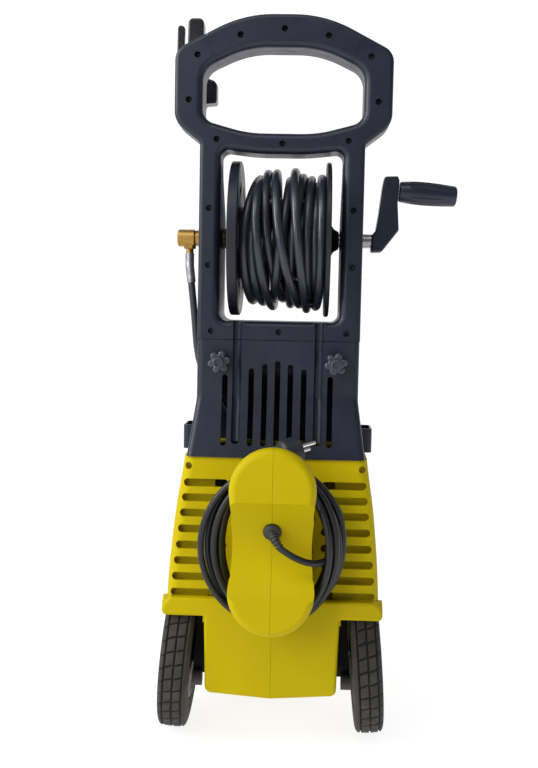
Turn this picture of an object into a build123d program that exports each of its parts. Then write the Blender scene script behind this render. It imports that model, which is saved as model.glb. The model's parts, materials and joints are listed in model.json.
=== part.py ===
from build123d import *
import math
import os

os.makedirs("parts", exist_ok=True)

# ---------------------------------------------------------------------------
# Upright electric pressure washer with hose reel. Millimetres.
# Working frame: x = 0 is the middle plane, y = 0 is the rear face of the
# carrying frame (the rear looks towards -Y), z = 0 is the floor. Every piece
# is shifted by (SX, SY) when it is written, so that the origin ends up under
# the middle of the machine's outline.
# ---------------------------------------------------------------------------
SX, SY = -37.24, -69.5
WALL = 3.0                 # moulded shell thickness
SEAM = 0.25                # half of the gap between moulded shells that butt together

# carrying frame
FRAME_SPLIT = 24.0         # y of the joint plane between the two half frames
LOOP_D = 48.0              # depth of the handle loop
COL_D = 100.0              # depth of the columns beside the reel
COL_OUT, COL_IN = 100.0, 74.2
FRAME_BOTTOM = 501.5
HANDLE_TOP = 891.4

# hose reel
RY, RZ = 57.0, 627.0       # reel axis (runs along X)
FLANGE_R = 96.5
DRUM_R = 40.0
HOSE_D = 11.0

# wheels
WHEEL_R, WHEEL_W = 102.0, 36.5
WHEEL_X, WHEEL_Y = 117.5, 45.0
CAMBER = 4.5               # degrees, tops lean in
ARCH_R = 109.0

# body
LEDGE_Y, LEDGE_X = -44.0, 133.6
BODY_TOP = 358.0
BODY_FRONT = 140.0         # plane where the half shells meet the front cover
LOUVRES = [326.5, 308.5, 290.0, 270.8, 251.4, 232.6, 213.6, 194.6]
LOUVRE_H = 9.6

CORD_D = 7.8               # mains lead
LINK_D = 9.0               # short hose from the pump to the reel

camber = math.radians(CAMBER)
WHEEL_Z = WHEEL_R * math.cos(camber) + (WHEEL_W / 2 - 3.2) * math.sin(camber) - 0.7055


def put(piece, name):
    """Shift a finished piece to the row frame, label it and write it."""
    body = piece.moved(Location((SX, SY, 0)))
    body.label = name
    export_step(body, "parts/" + name + ".step")


def back(y):
    """Sketch plane parallel to the rear face at depth y; sketch x = X, sketch y = Z, normal -Y."""
    return Plane(origin=(0, y, 0), x_dir=(1, 0, 0), z_dir=(0, -1, 0))


def side(x):
    """Sketch plane across the machine at x; sketch x = Y, sketch y = Z, normal +X."""
    return Plane(origin=(x, 0, 0), x_dir=(0, 1, 0), z_dir=(1, 0, 0))


# ---------------------------------------------------------------------------
# Carrying frame
# ---------------------------------------------------------------------------
FRAME_OUT = [(-COL_OUT, FRAME_BOTTOM), (-COL_OUT, 739), (-131.4, 763), (-131.4, 848.5), (-48.5, HANDLE_TOP),
             (48.5, HANDLE_TOP), (131.4, 848.5), (131.4, 763), (COL_OUT, 739), (COL_OUT, FRAME_BOTTOM)]
FRAME_OUT_R = [0, 8, 27, 20, 150, 150, 20, 27, 8, 0]
HANDLE_HOLE = [(-97, 766), (-97, 827.0), (-44, 852.6), (44, 852.6), (97, 827.0), (97, 766), (42, 751.2), (-42, 751.2)]
HANDLE_HOLE_R = [17, 24, 120, 120, 24, 17, 150, 150]
REEL_HOLE = [(-COL_IN, 524), (-COL_IN, 731.5), (-30, 726.6), (30, 726.6), (COL_IN, 731.5), (COL_IN, 524)]
REEL_HOLE_R = [10, 9, 200, 200, 9, 10]
SCREWS = [(-52.7, 866), (0, 873.6), (52.7, 866), (-104, 842), (104, 842), (-114, 789), (114, 789),
          (-79.5, 742.5), (0, 738.2), (79.5, 742.5), (-87.5, 660), (87.5, 660), (-87.5, 591.5), (87.5, 591.5),
          (-82.5, 511.5), (0, 511.5), (82.5, 511.5)]
BOSS_R, SINK_R, SINK_D, PILOT_R = 6.2, 3.8, 12.0, 1.75

# the grip section of the loop is cut off by two slanted planes
GT, GL = (95.0, 871.0), (78.5, 829.0)
_l = math.hypot(GT[0] - GL[0], GT[1] - GL[1])
_ux, _uz = (GT[0] - GL[0]) / _l, (GT[1] - GL[1]) / _l


def grip_wedge(grow):
    hx, hz = GT[0] + _ux * 60 + _uz * grow, GT[1] + _uz * 60 - _ux * grow
    lx, lz = GL[0] - _ux * 25 + _uz * grow, GL[1] - _uz * 25 - _ux * grow
    return [(-lx, lz), (-hx, hz), (hx, hz), (lx, lz)]


def loop_sketch(inset):
    """Face of the frame seen from behind, pulled in by inset on every side."""
    with BuildSketch(Plane.XY) as s:
        with BuildLine():
            FilletPolyline(*FRAME_OUT, radius=FRAME_OUT_R, close=True)
        make_face()
        with BuildLine():
            FilletPolyline(*HANDLE_HOLE, radius=HANDLE_HOLE_R, close=True)
        make_face(mode=Mode.SUBTRACT)
        with BuildLine():
            FilletPolyline(*REEL_HOLE, radius=REEL_HOLE_R, close=True)
        make_face(mode=Mode.SUBTRACT)
        if inset > 0:
            offset(amount=-inset, kind=Kind.INTERSECTION, mode=Mode.REPLACE)
    return s.sketch


LOOP0, LOOP4 = loop_sketch(0), loop_sketch(4.0)

# rear half frame with its grip section still on
with BuildPart() as rear_whole:
    with BuildSketch(back(0)):
        add(LOOP0)
    extrude(amount=-(FRAME_SPLIT - SEAM))
    rim = rear_whole.faces().sort_by(Axis.Y)[0]
    fillet([e for w in rim.inner_wires() for e in w.edges()], 8.0)
    rim = rear_whole.faces().sort_by(Axis.Y)[0]
    fillet([e for e in rim.outer_wire().edges() if abs(e.center().Z - FRAME_BOTTOM) > 0.5], 5.0)
    # hollow inside
    with BuildSketch(back(4.0)):
        add(LOOP4)
    extrude(amount=-30, mode=Mode.SUBTRACT)
    # screw bosses
    with BuildSketch(back(3.5)):
        with Locations(*SCREWS):
            Circle(BOSS_R)
    extrude(amount=-(FRAME_SPLIT - SEAM - 3.5))
    # backs of the two vertical channels
    with BuildSketch(Plane.XY.offset(FRAME_BOTTOM)):
        with Locations((-50, -0.6), (50, -0.6)):
            Circle(8.4)
    extrude(amount=22)
    # keep the bosses inside the frame's outline
    with BuildSketch(back(0)):
        add(LOOP0)
    extrude(amount=-40, mode=Mode.INTERSECT)
    with BuildSketch(back(-1)):
        with Locations(*SCREWS):
            Circle(SINK_R)
    extrude(amount=-(1 + SINK_D), mode=Mode.SUBTRACT)
    with BuildSketch(back(5)):
        with Locations(*SCREWS):
            Circle(PILOT_R)
    extrude(amount=-30, mode=Mode.SUBTRACT)
    # vertical channels that run on into the housing below
    with BuildSketch(Plane.XY.offset(FRAME_BOTTOM - 1)):
        with Locations((-50, -0.6), (50, -0.6)):
            Circle(5.4)
    extrude(amount=26, mode=Mode.SUBTRACT)


# front half frame with its grip section still on
def front_edges(p):
    """Outline edges of the front side: not the joint plane, not the foot of the columns."""
    keep = []
    for e in p.edges():
        bb = e.bounding_box()
        if bb.min.Y < LOOP_D - 0.5 or bb.max.Z < FRAME_BOTTOM + 0.5:
            continue
        if e.geom_type == GeomType.LINE and bb.size.X < 0.01 and bb.size.Z < 0.01:
            continue
        # leave out the creases across the front faces
        if bb.size.X > 5 and bb.size.Z < 0.01 and bb.size.Y < 0.01 and not (bb.min.Z < 525):
            continue
        keep.append(e)
    return keep


with BuildPart() as front_whole:
    with BuildSketch(back(FRAME_SPLIT + SEAM)):
        add(LOOP0)
    extrude(amount=-(COL_D - FRAME_SPLIT - SEAM))
    with BuildSketch(side(-150)):
        with BuildLine():
            FilletPolyline((0, 480), (COL_D, 480), (COL_D, 652), (LOOP_D, 706), (LOOP_D, 920), (0, 920),
                           radius=[0, 0, 30, 30, 0, 0], close=True)
        make_face()
    extrude(amount=300, mode=Mode.INTERSECT)
    fillet(front_edges(front_whole), 5.0)

# the space inside it, 4 mm in from every outer face
with BuildPart() as front_space:
    with BuildSketch(back(FRAME_SPLIT - 1)):
        add(LOOP4)
    extrude(amount=-(COL_D - FRAME_SPLIT))
    with BuildSketch(side(-150)):
        with BuildLine():
            FilletPolyline((0, 480), (COL_D - 4, 480), (COL_D - 4, 650), (LOOP_D - 4, 704), (LOOP_D - 4, 920), (0, 920),
                           radius=[0, 0, 26, 34, 0, 0], close=True)
        make_face()
    extrude(amount=300, mode=Mode.INTERSECT)
    # bearing seats of the reel stay solid
    with BuildSketch(side(-120)):
        with Locations((RY, RZ)):
            Circle(19)
    extrude(amount=240, mode=Mode.SUBTRACT)

with BuildPart() as front_shell:
    add(front_whole.part)
    add(front_space.part, mode=Mode.SUBTRACT)
    with BuildSketch(back(FRAME_SPLIT + SEAM)):
        with Locations(*SCREWS):
            Circle(BOSS_R)
    extrude(amount=-(COL_D - FRAME_SPLIT - SEAM))
    add(front_whole.part, mode=Mode.INTERSECT)
    with BuildSketch(back(FRAME_SPLIT - 1)):
        with Locations(*SCREWS):
            Circle(PILOT_R)
    extrude(amount=-16, mode=Mode.SUBTRACT)
    # seats for the reel bushes
    with BuildSketch(side(-120)):
        with Locations((RY, RZ)):
            Circle(13.0)
    extrude(amount=240, mode=Mode.SUBTRACT)

with BuildPart() as handle_frame_rear:
    add(rear_whole.part)
    with BuildSketch(back(-5)):
        with BuildLine():
            Polyline(*grip_wedge(0.3), close=True)
        make_face()
    extrude(amount=-80, mode=Mode.SUBTRACT)

with BuildPart() as handle_grip_rear:
    add(rear_whole.part)
    with BuildSketch(back(-5)):
        with BuildLine():
            Polyline(*grip_wedge(0), close=True)
        make_face()
    extrude(amount=-80, mode=Mode.INTERSECT)

with BuildPart() as handle_frame_front:
    add(front_shell.part)
    with BuildSketch(back(-5)):
        with BuildLine():
            Polyline(*grip_wedge(0.3), close=True)
        make_face()
    extrude(amount=-80, mode=Mode.SUBTRACT)

with BuildPart() as handle_grip_front:
    add(front_shell.part)
    with BuildSketch(back(-5)):
        with BuildLine():
            Polyline(*grip_wedge(0), close=True)
        make_face()
    extrude(amount=-80, mode=Mode.INTERSECT)

# screws that hold the half frames together: pan head with a cross recess
with BuildPart() as handle_screws:
    with BuildSketch(back(SINK_D - 2.6)):
        with Locations(*SCREWS):
            Circle(3.3)
    extrude(amount=-2.6)
    with BuildSketch(back(SINK_D - 0.1)):
        with Locations(*SCREWS):
            Circle(1.6)
    extrude(amount=-24)
    with BuildSketch(back(SINK_D - 2.7)):
        with Locations(*SCREWS):
            Rectangle(3.6, 0.8)
            Rectangle(0.8, 3.6)
    extrude(amount=-1.6, mode=Mode.SUBTRACT)

put(handle_frame_rear.part, "handle_frame_rear")
put(handle_frame_front.part, "handle_frame_front")
put(handle_grip_rear.part, "handle_grip_rear")
put(handle_grip_front.part, "handle_grip_front")
put(handle_screws.part, "handle_screws")

# ---------------------------------------------------------------------------
# Dark housing between the frame and the body
# ---------------------------------------------------------------------------
HS_SPLIT = 50.0
HS_OUT = [(-109.2, BODY_TOP - 2.2), (-99.5, 428), (-99.5, FRAME_BOTTOM - 0.6), (99.5, FRAME_BOTTOM - 0.6), (99.5, 428),
          (109.2, BODY_TOP - 2.2)]
HS_SIDE = [(-17, BODY_TOP - 2.2), (0, 431), (0, FRAME_BOTTOM - 0.6), (COL_D, FRAME_BOTTOM - 0.6), (COL_D, 452),
           (150, 398), (156, BODY_TOP - 2.2)]
SLOTS = [(0, 476.0, 373.0), (-15.8, 472.0, 372.0), (15.8, 472.0, 372.0), (-32.2, 466.5, 372.0), (32.2, 466.5, 372.0),
         (-64.6, 458.0, 372.0), (64.6, 458.0, 372.0)]
CHANNELS = (-50.0, 50.0)
KNOB_X, KNOB_Z = 70.5, 474.5


def housing_block(inset, low):
    """Outer form of the housing, or the space inside it when inset is the wall."""
    o = [(-109.2 + inset, low), (-99.5 + inset, 428 - inset / 3), (-99.5 + inset, FRAME_BOTTOM - 0.6 - inset),
         (99.5 - inset, FRAME_BOTTOM - 0.6 - inset), (99.5 - inset, 428 - inset / 3), (109.2 - inset, low)]
    s = [(-17 + inset, low), (inset, 431 - inset / 3), (inset, FRAME_BOTTOM - 0.6 - inset),
         (COL_D - inset, FRAME_BOTTOM - 0.6 - inset), (COL_D - inset, 452 - inset), (150 - inset, 398 - inset / 2), (156 - inset, low)]
    with BuildPart() as b:
        with BuildSketch(back(-40)):
            with BuildLine():
                FilletPolyline(*o, radius=[0, 60, 0, 0, 60, 0], close=True)
            make_face()
        extrude(amount=-240)
        with BuildSketch(side(-150)):
            with BuildLine():
                FilletPolyline(*s, radius=[0, 60, 0, 0, 30, 22, 0], close=True)
            make_face()
        extrude(amount=300, mode=Mode.INTERSECT)
        if inset == 0:
            up = [e for e in b.edges() if e.bounding_box().size.Z > 3 and abs(e.center().X) > 90]
            fillet(up, 7.0)
    return b.part


HS_OUTER = housing_block(0, BODY_TOP)
HS_INNER = housing_block(WALL, BODY_TOP)


LINK_PTS = [(-114.1, 57.3, 571.0), (-111.2, 58.0, 545.0), (-108.8, 61.0, 518.0), (-107.2, 66.0, 491.0), (-103.2, 72.5, 465.5),
            (-91.0, 80.0, 444.0), (-74.0, 87.0, 424.0), (-62.0, 92.0, 400.0), (-58.0, 94.0, 373.0), (-60.0, 92.0, 344.0),
            (-66.0, 86.0, 315.0), (-71.0, 78.0, 286.0), (-72.0, 70.0, 256.0), (-70.0, 64.0, 226.0), (-66.0, 61.5, 196.0),
            (-62.0, 62.0, 168.0)]


def run_radii(points, at_least):
    """Radius for each corner of a route: 0.45 of the shorter run over the tangent of half the turn."""
    radii = []
    for a, b, c in zip(points, points[1:], points[2:]):
        u, v = Vector(*b) - Vector(*a), Vector(*c) - Vector(*b)
        turn = u.get_angle(v)
        r = 0.45 * min(u.length, v.length) / math.tan(math.radians(turn / 2))
        radii.append(r)
    print("radii", [round(r, 1) for r in radii], "least wanted", at_least)
    return radii


LINK_RADII = run_radii(LINK_PTS, 5 * LINK_D)

with BuildPart() as housing_whole:
    add(HS_OUTER)
    add(HS_INNER, mode=Mode.SUBTRACT)
    # inner backs of the two vertical channels
    for cx in CHANNELS:
        with BuildSketch(Plane(origin=(cx, -0.6, 431), z_dir=(0, 0, 1))):
            Circle(8.4)
        extrude(amount=71)
        with BuildSketch(Plane(origin=(cx, -0.6, 431), z_dir=Vector(0, -17, -(431 - BODY_TOP + 2.2)))):
            Circle(8.4)
        extrude(amount=54)
        with Locations((cx, -0.6, 431)):
            Sphere(8.4)
    # bosses behind the clamping knobs
    with BuildSketch(back(1)):
        with Locations((-KNOB_X, KNOB_Z), (KNOB_X, KNOB_Z)):
            Circle(10)
    extrude(amount=-22)
    add(HS_OUTER, mode=Mode.INTERSECT)
    for cx in CHANNELS:
        with BuildSketch(Plane(origin=(cx, -0.6, 431), z_dir=(0, 0, 1))):
            Circle(5.4)
        extrude(amount=80, mode=Mode.SUBTRACT)
        low_dir = Vector(0, -17, -(431 - BODY_TOP + 2.2)).normalized()
        with BuildSketch(Plane(origin=(cx, -0.6, 431), z_dir=low_dir)):
            Circle(5.4)
        extrude(amount=53, mode=Mode.SUBTRACT)
        with Locations((cx, -0.6, 431), (cx, -0.6 + low_dir.Y * 53, 431 + low_dir.Z * 53)):
            Sphere(5.4, mode=Mode.SUBTRACT)
    # cooling slots
    with BuildSketch(back(-40)):
        for sx, s_hi, s_lo in SLOTS:
            with Locations((sx, (s_hi + s_lo) / 2)):
                SlotOverall(s_hi - s_lo, 6.8, rotation=90)
    extrude(amount=-56, mode=Mode.SUBTRACT)
    # knob stud holes
    with BuildSketch(back(-5)):
        with Locations((-KNOB_X, KNOB_Z), (KNOB_X, KNOB_Z)):
            Circle(4.05)
    extrude(amount=-40, mode=Mode.SUBTRACT)
    # the short hose goes in through the left side
    a, b = Vector(*LINK_PTS[4]), Vector(*LINK_PTS[5])
    with BuildSketch(Plane(origin=a - (b - a).normalized() * 12, z_dir=b - a)):
        Circle(LINK_D / 2 + 3.0)
    extrude(amount=40, mode=Mode.SUBTRACT)

with BuildPart() as housing_rear:
    add(housing_whole.part)
    with Locations((0, HS_SPLIT - SEAM - 100, 430)):
        Box(400, 200, 300, mode=Mode.INTERSECT)

with BuildPart() as housing_front:
    add(housing_whole.part)
    with Locations((0, HS_SPLIT + SEAM + 100, 430)):
        Box(400, 200, 300, mode=Mode.INTERSECT)
    # straight sides under the accessory pockets
    with Locations((0, 150, 400)):
        Box(199.0, 240, 300, mode=Mode.INTERSECT)
    # side strips that close the front half where its flare is cut off
    with Locations((-98.0, 90, 392), (98.0, 90, 392)):
        Box(3.0, 2 * (90 - HS_SPLIT - SEAM), 68.0)
    add(HS_OUTER, mode=Mode.INTERSECT)

put(housing_rear.part, "housing_rear")
put(housing_front.part, "housing_front")

# ---------------------------------------------------------------------------
# Accessory pockets at both sides of the housing
# ---------------------------------------------------------------------------
with BuildPart() as lance_holster_right:
    with BuildSketch(Plane.XY.offset(BODY_TOP + 0.4)):
        with Locations((110.4, 73)):
            RectangleRounded(21.2, 46, 6)
    extrude(amount=30.6)
    with BuildSketch(Plane.XY.offset(BODY_TOP + 3.4)):
        with Locations((110.4, 73)):
            RectangleRounded(16.0, 40.8, 4)
    extrude(amount=40, mode=Mode.SUBTRACT)
    fillet(lance_holster_right.faces().sort_by(Axis.Z)[-1].outer_wire().edges(), 1.2)
lance_holster_left = lance_holster_right.part.mirror(Plane.YZ)
put(lance_holster_right.part, "lance_holster_right")
put(lance_holster_left, "lance_holster_left")

# ---------------------------------------------------------------------------
# Yellow body: two half shells that meet in the middle plane, and a front cover
# ---------------------------------------------------------------------------
SHELL = 3.2
BOX_X, BOX_LOW = 82.0, 73.0
# right side of the outline seen from behind, from the top down to the ledge
FLANK = [(112.2, BODY_TOP), (114.0, 343), (119.5, 307), (123.4, 273), (127.0, 231), (129.0, 192), (129.3, 160)]
REAR_TOP, REAR_LOW = (-15.0, BODY_TOP), (-36.5, 192.0)      # rear face in side view, above the ledge
REAR_LEAN = (REAR_TOP[0] - REAR_LOW[0]) / (REAR_TOP[1] - REAR_LOW[1])


def rear_y(z):
    """Depth of the louvred rear face at height z."""
    return REAR_LOW[0] + (z - REAR_LOW[1]) * REAR_LEAN


def upper_block(inset, front):
    """Right half of the louvred part, with its rounded rear corner."""
    f = [(x - inset, z) for x, z in FLANK]
    with BuildPart() as b:
        with BuildSketch(back(-60)):
            with BuildLine():
                flank = Spline(*f)
                Polyline(flank @ 1, (0, 160), (0, BODY_TOP), flank @ 0)
            make_face()
        extrude(amount=-(front + 60))
        with BuildSketch(side(-5)):
            with BuildLine():
                Polyline((-80, 150), (-80, BODY_TOP + 10), (rear_y(BODY_TOP + 10) + inset, BODY_TOP + 10), (rear_y(150) + inset, 150), close=True)
            make_face()
        extrude(amount=200, mode=Mode.SUBTRACT)
        corner = [e for e in b.edges() if e.bounding_box().size.Z > 100 and e.bounding_box().max.Y < 0 and e.bounding_box().min.X > 60]
        fillet(corner, 14.0 - inset)
    return b.part


def lower_block(inset, front):
    """Right half of the ledge over the wheels and of the box below it."""
    with BuildPart() as b:
        with BuildSketch(back(LEDGE_Y + inset)):
            with BuildLine():
                rest = FilletPolyline((0, 190.5 - inset), (124.5 - inset, 190.5 - inset), (LEDGE_X - inset, 180.5), (LEDGE_X - inset, 167.3 + inset),
                                      (BOX_X - inset, 167.3 + inset), (BOX_X - 2.2 - inset, BOX_LOW + inset), (0, 67 + inset),
                                      radius=[7, 7, 6, 2.5, 8])
                Line(rest @ 1, rest @ 0)
            make_face()
        extrude(amount=-(front - LEDGE_Y - inset))
        if inset == 0:
            rim = b.faces().sort_by(Axis.Y)[0]
            fillet([e for e in rim.edges() if e.center().X > 0.5], 4.0)
        with BuildSketch(side(-5)):
            with BuildLine():
                Polyline((-60, -20), (front + 10, -20), (front + 10, 44 + inset), (40, 62 + inset), (-20, 67 + inset), (-60, 67 + inset), close=True)
            make_face()
        extrude(amount=200, mode=Mode.SUBTRACT)
    return b.part


with BuildPart() as body_outer:
    add(upper_block(0, BODY_FRONT))
    add(lower_block(0, BODY_FRONT))

with BuildPart() as body_space:
    add(upper_block(SHELL, BODY_FRONT + 5))
    add(lower_block(SHELL, BODY_FRONT + 5))
    # liner of the wheel arch, and a solid web in the slit of the seam
    with BuildSketch(side(BOX_X - SHELL)):
        with Locations((WHEEL_Y, WHEEL_Z)):
            Circle(ARCH_R + SHELL)
    extrude(amount=100, mode=Mode.SUBTRACT)


# flared lip over the wheel
with BuildPart() as arch_lip:
    with BuildSketch(side(119.0)):
        with Locations((WHEEL_Y, WHEEL_Z)):
            Circle(ARCH_R + 8.0)
    extrude(amount=LEDGE_X - 119.0)
    fillet(arch_lip.faces().filter_by(Axis.X).sort_by(Axis.X)[-1].edges(), 3.5)
    with BuildSketch(side(100.0)):
        with Locations((WHEEL_Y, WHEEL_Z)):
            Circle(ARCH_R)
    extrude(amount=100, mode=Mode.SUBTRACT)
    with Locations((120, WHEEL_Y, 167.3 - 150), (120, WHEEL_Y, 188.0 + 150), (120, BODY_FRONT + 150, 150), (120, LEDGE_Y + 6 - 150, 250)):
        Box(100, 300, 300, mode=Mode.SUBTRACT)


# baffle behind the louvres
with BuildPart() as baffle:
    with BuildSketch(side(74.0)):
        with BuildLine():
            Polyline((rear_y(352) + 13, 352), (rear_y(352) + 15.5, 352), (rear_y(184) + 15.5, 184), (rear_y(184) + 13, 184), close=True)
        make_face()
    extrude(amount=60)
    add(body_outer.part, mode=Mode.INTERSECT)

# sleeve round the screw well in the rear corner
WELL_Y = -9.6                                               # seat of the screw head
with BuildPart() as well_sleeve:
    with BuildSketch(back(-17)):
        with Locations((106.0, 346.5)):
            Circle(7.2)
    extrude(amount=-13.2)
    add(body_outer.part, mode=Mode.INTERSECT)

# ---- cable holder that stands out of the rear face ------------------------
HOLD_R, HOLD_HI, HOLD_LO = 50.0, 333.0, 215.0       # end radius and its two centre heights
HOLD_Y, HOLD_IN = -112.0, -92.0                      # outer face and underside of the lobes
HUB_R, HUB_HI, HUB_LO = 47.5, 296.5, 233.5
SADDLE_R, SADDLE_Y, SADDLE_Z = 72.0, -156.0, 264.5


def stadium(r, hi, lo, waist=0.0):
    """Right half of an upright slot shape; its side is drawn in by waist at mid height, tangent to both ends."""
    h = (hi - lo) / 2
    k = (h * h + waist * waist) / (2 * waist) if waist else 1e9
    tx, tz = r * (k - waist) / k, r * h / k
    with BuildSketch(Plane.XY) as s:
        with BuildLine():
            Polyline((0, hi + r), (0, lo - r))
            ThreePointArc((0, lo - r), (r * math.sin(math.pi / 4), lo - r * math.cos(math.pi / 4)), (tx, lo + tz))
            if waist:
                ThreePointArc((tx, lo + tz), (r - waist, (hi + lo) / 2), (tx, hi - tz))
            else:
                Line((tx, lo + tz), (tx, hi - tz))
            ThreePointArc((tx, hi - tz), (r * math.sin(math.pi / 4), hi + r * math.cos(math.pi / 4)), (0, hi + r))
        make_face()
    return s.sketch


with BuildPart() as holder_form:
    with BuildSketch(back(HOLD_Y)):
        add(stadium(HOLD_R, HOLD_HI, HOLD_LO, 4.0))
    extrude(amount=HOLD_Y - HOLD_IN)
    rim = holder_form.faces().sort_by(Axis.Y)[0]
    fillet([e for e in rim.edges() if e.center().X > 0.1], 9.0)
    under = holder_form.faces().sort_by(Axis.Y)[-1]
    fillet([e for e in under.edges() if e.center().X > 0.1], 2.5)

with BuildPart() as hub_form:
    with BuildSketch(back(HOLD_IN - 1.0)):
        add(stadium(HUB_R, HUB_HI, HUB_LO, 2.0))
    with BuildSketch(back(-14.0)):
        add(stadium(HUB_R + 4.0, HUB_HI, HUB_LO, 2.0))
    loft()
    with BuildSketch(side(-5)):
        with BuildLine():
            Polyline((-120, 400), (rear_y(400) + 1, 400), (rear_y(150) + 1, 150), (-120, 150), close=True)
        make_face()
    extrude(amount=100, mode=Mode.INTERSECT)

with BuildPart() as holder_space:
    with BuildSketch(back(HOLD_Y + 3.5)):
        add(stadium(HOLD_R - 3.5, HOLD_HI, HOLD_LO, 4.0))
    extrude(amount=-(HOLD_IN - HOLD_Y - 7.0))
    with BuildSketch(back(HOLD_Y + 3.5)):
        add(stadium(HUB_R - 3.2, HUB_HI, HUB_LO, 2.0))
    extrude(amount=-100)
    with BuildSketch(side(-5)):
        with Locations((SADDLE_Y, SADDLE_Z)):
            Circle(SADDLE_R + 3.2)
    extrude(amount=100, mode=Mode.SUBTRACT)
    with BuildSketch(side(-5)):
        with BuildLine():
            Polyline((-120, 400), (rear_y(400) + 8, 400), (rear_y(150) + 8, 150), (-120, 150), close=True)
        make_face()
    extrude(amount=100, mode=Mode.INTERSECT)

def axle_plane(t):
    """Plane square to the right wheel's axle, t along it from the middle of the tyre."""
    return Plane(origin=(WHEEL_X + t * math.cos(camber), WHEEL_Y, WHEEL_Z + t * math.sin(camber)), x_dir=(0, 1, 0),
                 z_dir=(math.cos(camber), 0, math.sin(camber)))


GLAND_Z = 284.0
GLAND_Y = SADDLE_Y + math.sqrt(SADDLE_R ** 2 - (GLAND_Z - SADDLE_Z) ** 2)
GLAND_N = Vector(0, GLAND_Y - SADDLE_Y, GLAND_Z - SADDLE_Z).normalized() * -1

with BuildPart() as body_whole_right:
    add(body_outer.part)
    add(arch_lip.part)
    add(hub_form.part)
    add(holder_form.part)
    with BuildSketch(side(-5)):
        with Locations((SADDLE_Y, SADDLE_Z)):
            Circle(SADDLE_R)
    extrude(amount=100, mode=Mode.SUBTRACT)
    add(body_space.part, mode=Mode.SUBTRACT)
    add(holder_space.part, mode=Mode.SUBTRACT)
    add(baffle.part)
    add(well_sleeve.part)
    with BuildSketch(side(BOX_X + 1.5)):
        with Locations((WHEEL_Y, WHEEL_Z)):
            Circle(ARCH_R)
    extrude(amount=100, mode=Mode.SUBTRACT)
    # louvres: they run from beside the cable holder round the rear corner
    for z in LOUVRES:
        x_end = 112.2 - 5.5 + (BODY_TOP - z) * (129.0 - 112.2) / (BODY_TOP - 192.0) + (1.5 if z > 200 else 0.5)
        with BuildSketch(back(rear_y(z) - 12)):
            with Locations(((57.0 + x_end) / 2, z)):
                SlotOverall(x_end - 57.0, LOUVRE_H)
        extrude(amount=-(12 + 11.5), mode=Mode.SUBTRACT)
    # opening for the gland
    with BuildSketch(Plane(origin=Vector(0, GLAND_Y, GLAND_Z) + GLAND_N * 5, x_dir=(1, 0, 0), z_dir=GLAND_N)):
        Circle(6.0)
    extrude(amount=-14, mode=Mode.SUBTRACT)
    # screw wells in the rear corners, and their bosses
    with BuildSketch(back(-30)):
        with Locations((106.0, 346.5)):
            Circle(4.2)
    extrude(amount=-(30 + WELL_Y), mode=Mode.SUBTRACT)
    with BuildSketch(back(-16)):
        with Locations((106.0, 346.5)):
            Circle(1.75)
    extrude(amount=-26, mode=Mode.SUBTRACT)
    # boss that carries the stub axle
    with BuildSketch(axle_plane(-42.0)):
        Circle(12.0)
    extrude(amount=42.0 - WHEEL_W / 2 - 1.2)
    with BuildSketch(axle_plane(-70.0)):
        Circle(6.0)
    extrude(amount=100, mode=Mode.SUBTRACT)
    # seam face
    with Locations((SEAM / 2 - 50, 0, 200)):
        Box(100, 600, 600, mode=Mode.SUBTRACT)
body_shell_right = body_whole_right.part
with BuildPart() as body_whole_left:
    add(body_whole_right.part.mirror(Plane.YZ))
    # the short hose passes through the top of the left half
    with BuildSketch(Plane.XY.offset(345)):
        with Locations((-59.1, 93.0)):
            Circle(LINK_D / 2 + 2.5)
    extrude(amount=20, mode=Mode.SUBTRACT)
body_shell_left = body_whole_left.part
put(body_shell_right, "body_shell_right")
put(body_shell_left, "body_shell_left")

# screws of the body: two in the rear wells, two at the ends of the channels
with BuildPart() as body_screws:
    with BuildSketch(back(WELL_Y - 0.1)):
        with Locations((106.0, 346.5), (-106.0, 346.5)):
            Circle(3.8)
    extrude(amount=3.0)
    with BuildSketch(back(WELL_Y - 0.2)):
        with Locations((106.0, 346.5), (-106.0, 346.5)):
            Circle(1.7)
    extrude(amount=-15.0)
    with BuildSketch(back(WELL_Y - 1.9)):
        with Locations((106.0, 346.5), (-106.0, 346.5)):
            Rectangle(4.4, 0.9)
            Rectangle(0.9, 4.4)
    extrude(amount=3.0, mode=Mode.SUBTRACT)
put(body_screws.part, "body_screws")

# ---- front cover ----------------------------------------------------------
def cover_block(inset):
    o = [(0, BODY_TOP - inset), (112.2 - inset, BODY_TOP - inset), (118.5 - inset, 310), (127.5 - inset, 225), (128.5 - inset, 164 + inset),
         (80 - inset, 158 + inset), (78 - inset, 13 + inset), (0, 13 + inset)]
    o = [(-x, z) for x, z in reversed(o[1:-1])] + o[1:-1]
    n = len(o)
    with BuildPart() as b:
        with BuildSketch(back(BODY_FRONT + SEAM - (5 if inset else 0))):
            with BuildLine():
                FilletPolyline(*o, radius=[5.5, 6, 8, 60, 60, 6, 6, 60, 60, 8, 6, 5.5], close=True)
            make_face()
        extrude(amount=-140)
        with BuildSketch(side(-150)):
            with BuildLine():
                FilletPolyline((100, BODY_TOP + 5), (172 - inset, BODY_TOP + 5), (214 - inset, 338 - inset), (232 - inset, 250), (236 - inset, 130),
                               (226 - inset, 5), (100, 5), radius=[0, 20, 30, 120, 90, 12, 0], close=True)
            make_face()
        extrude(amount=300, mode=Mode.INTERSECT)
        if inset == 0:
            front = [e for e in b.edges() if e.bounding_box().min.Y > 165 and e.bounding_box().size.X < 60 and e.bounding_box().size.Z > 2]
            fillet(front, 6.0)
    return b.part


with BuildPart() as cover_space:
    add(cover_block(SHELL))
    for start in (-200.0, BOX_X - SHELL):
        with BuildSketch(side(start)):
            with Locations((WHEEL_Y, WHEEL_Z)):
                Circle(ARCH_R + SHELL)
        extrude(amount=200 - BOX_X + SHELL, mode=Mode.SUBTRACT)

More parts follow.
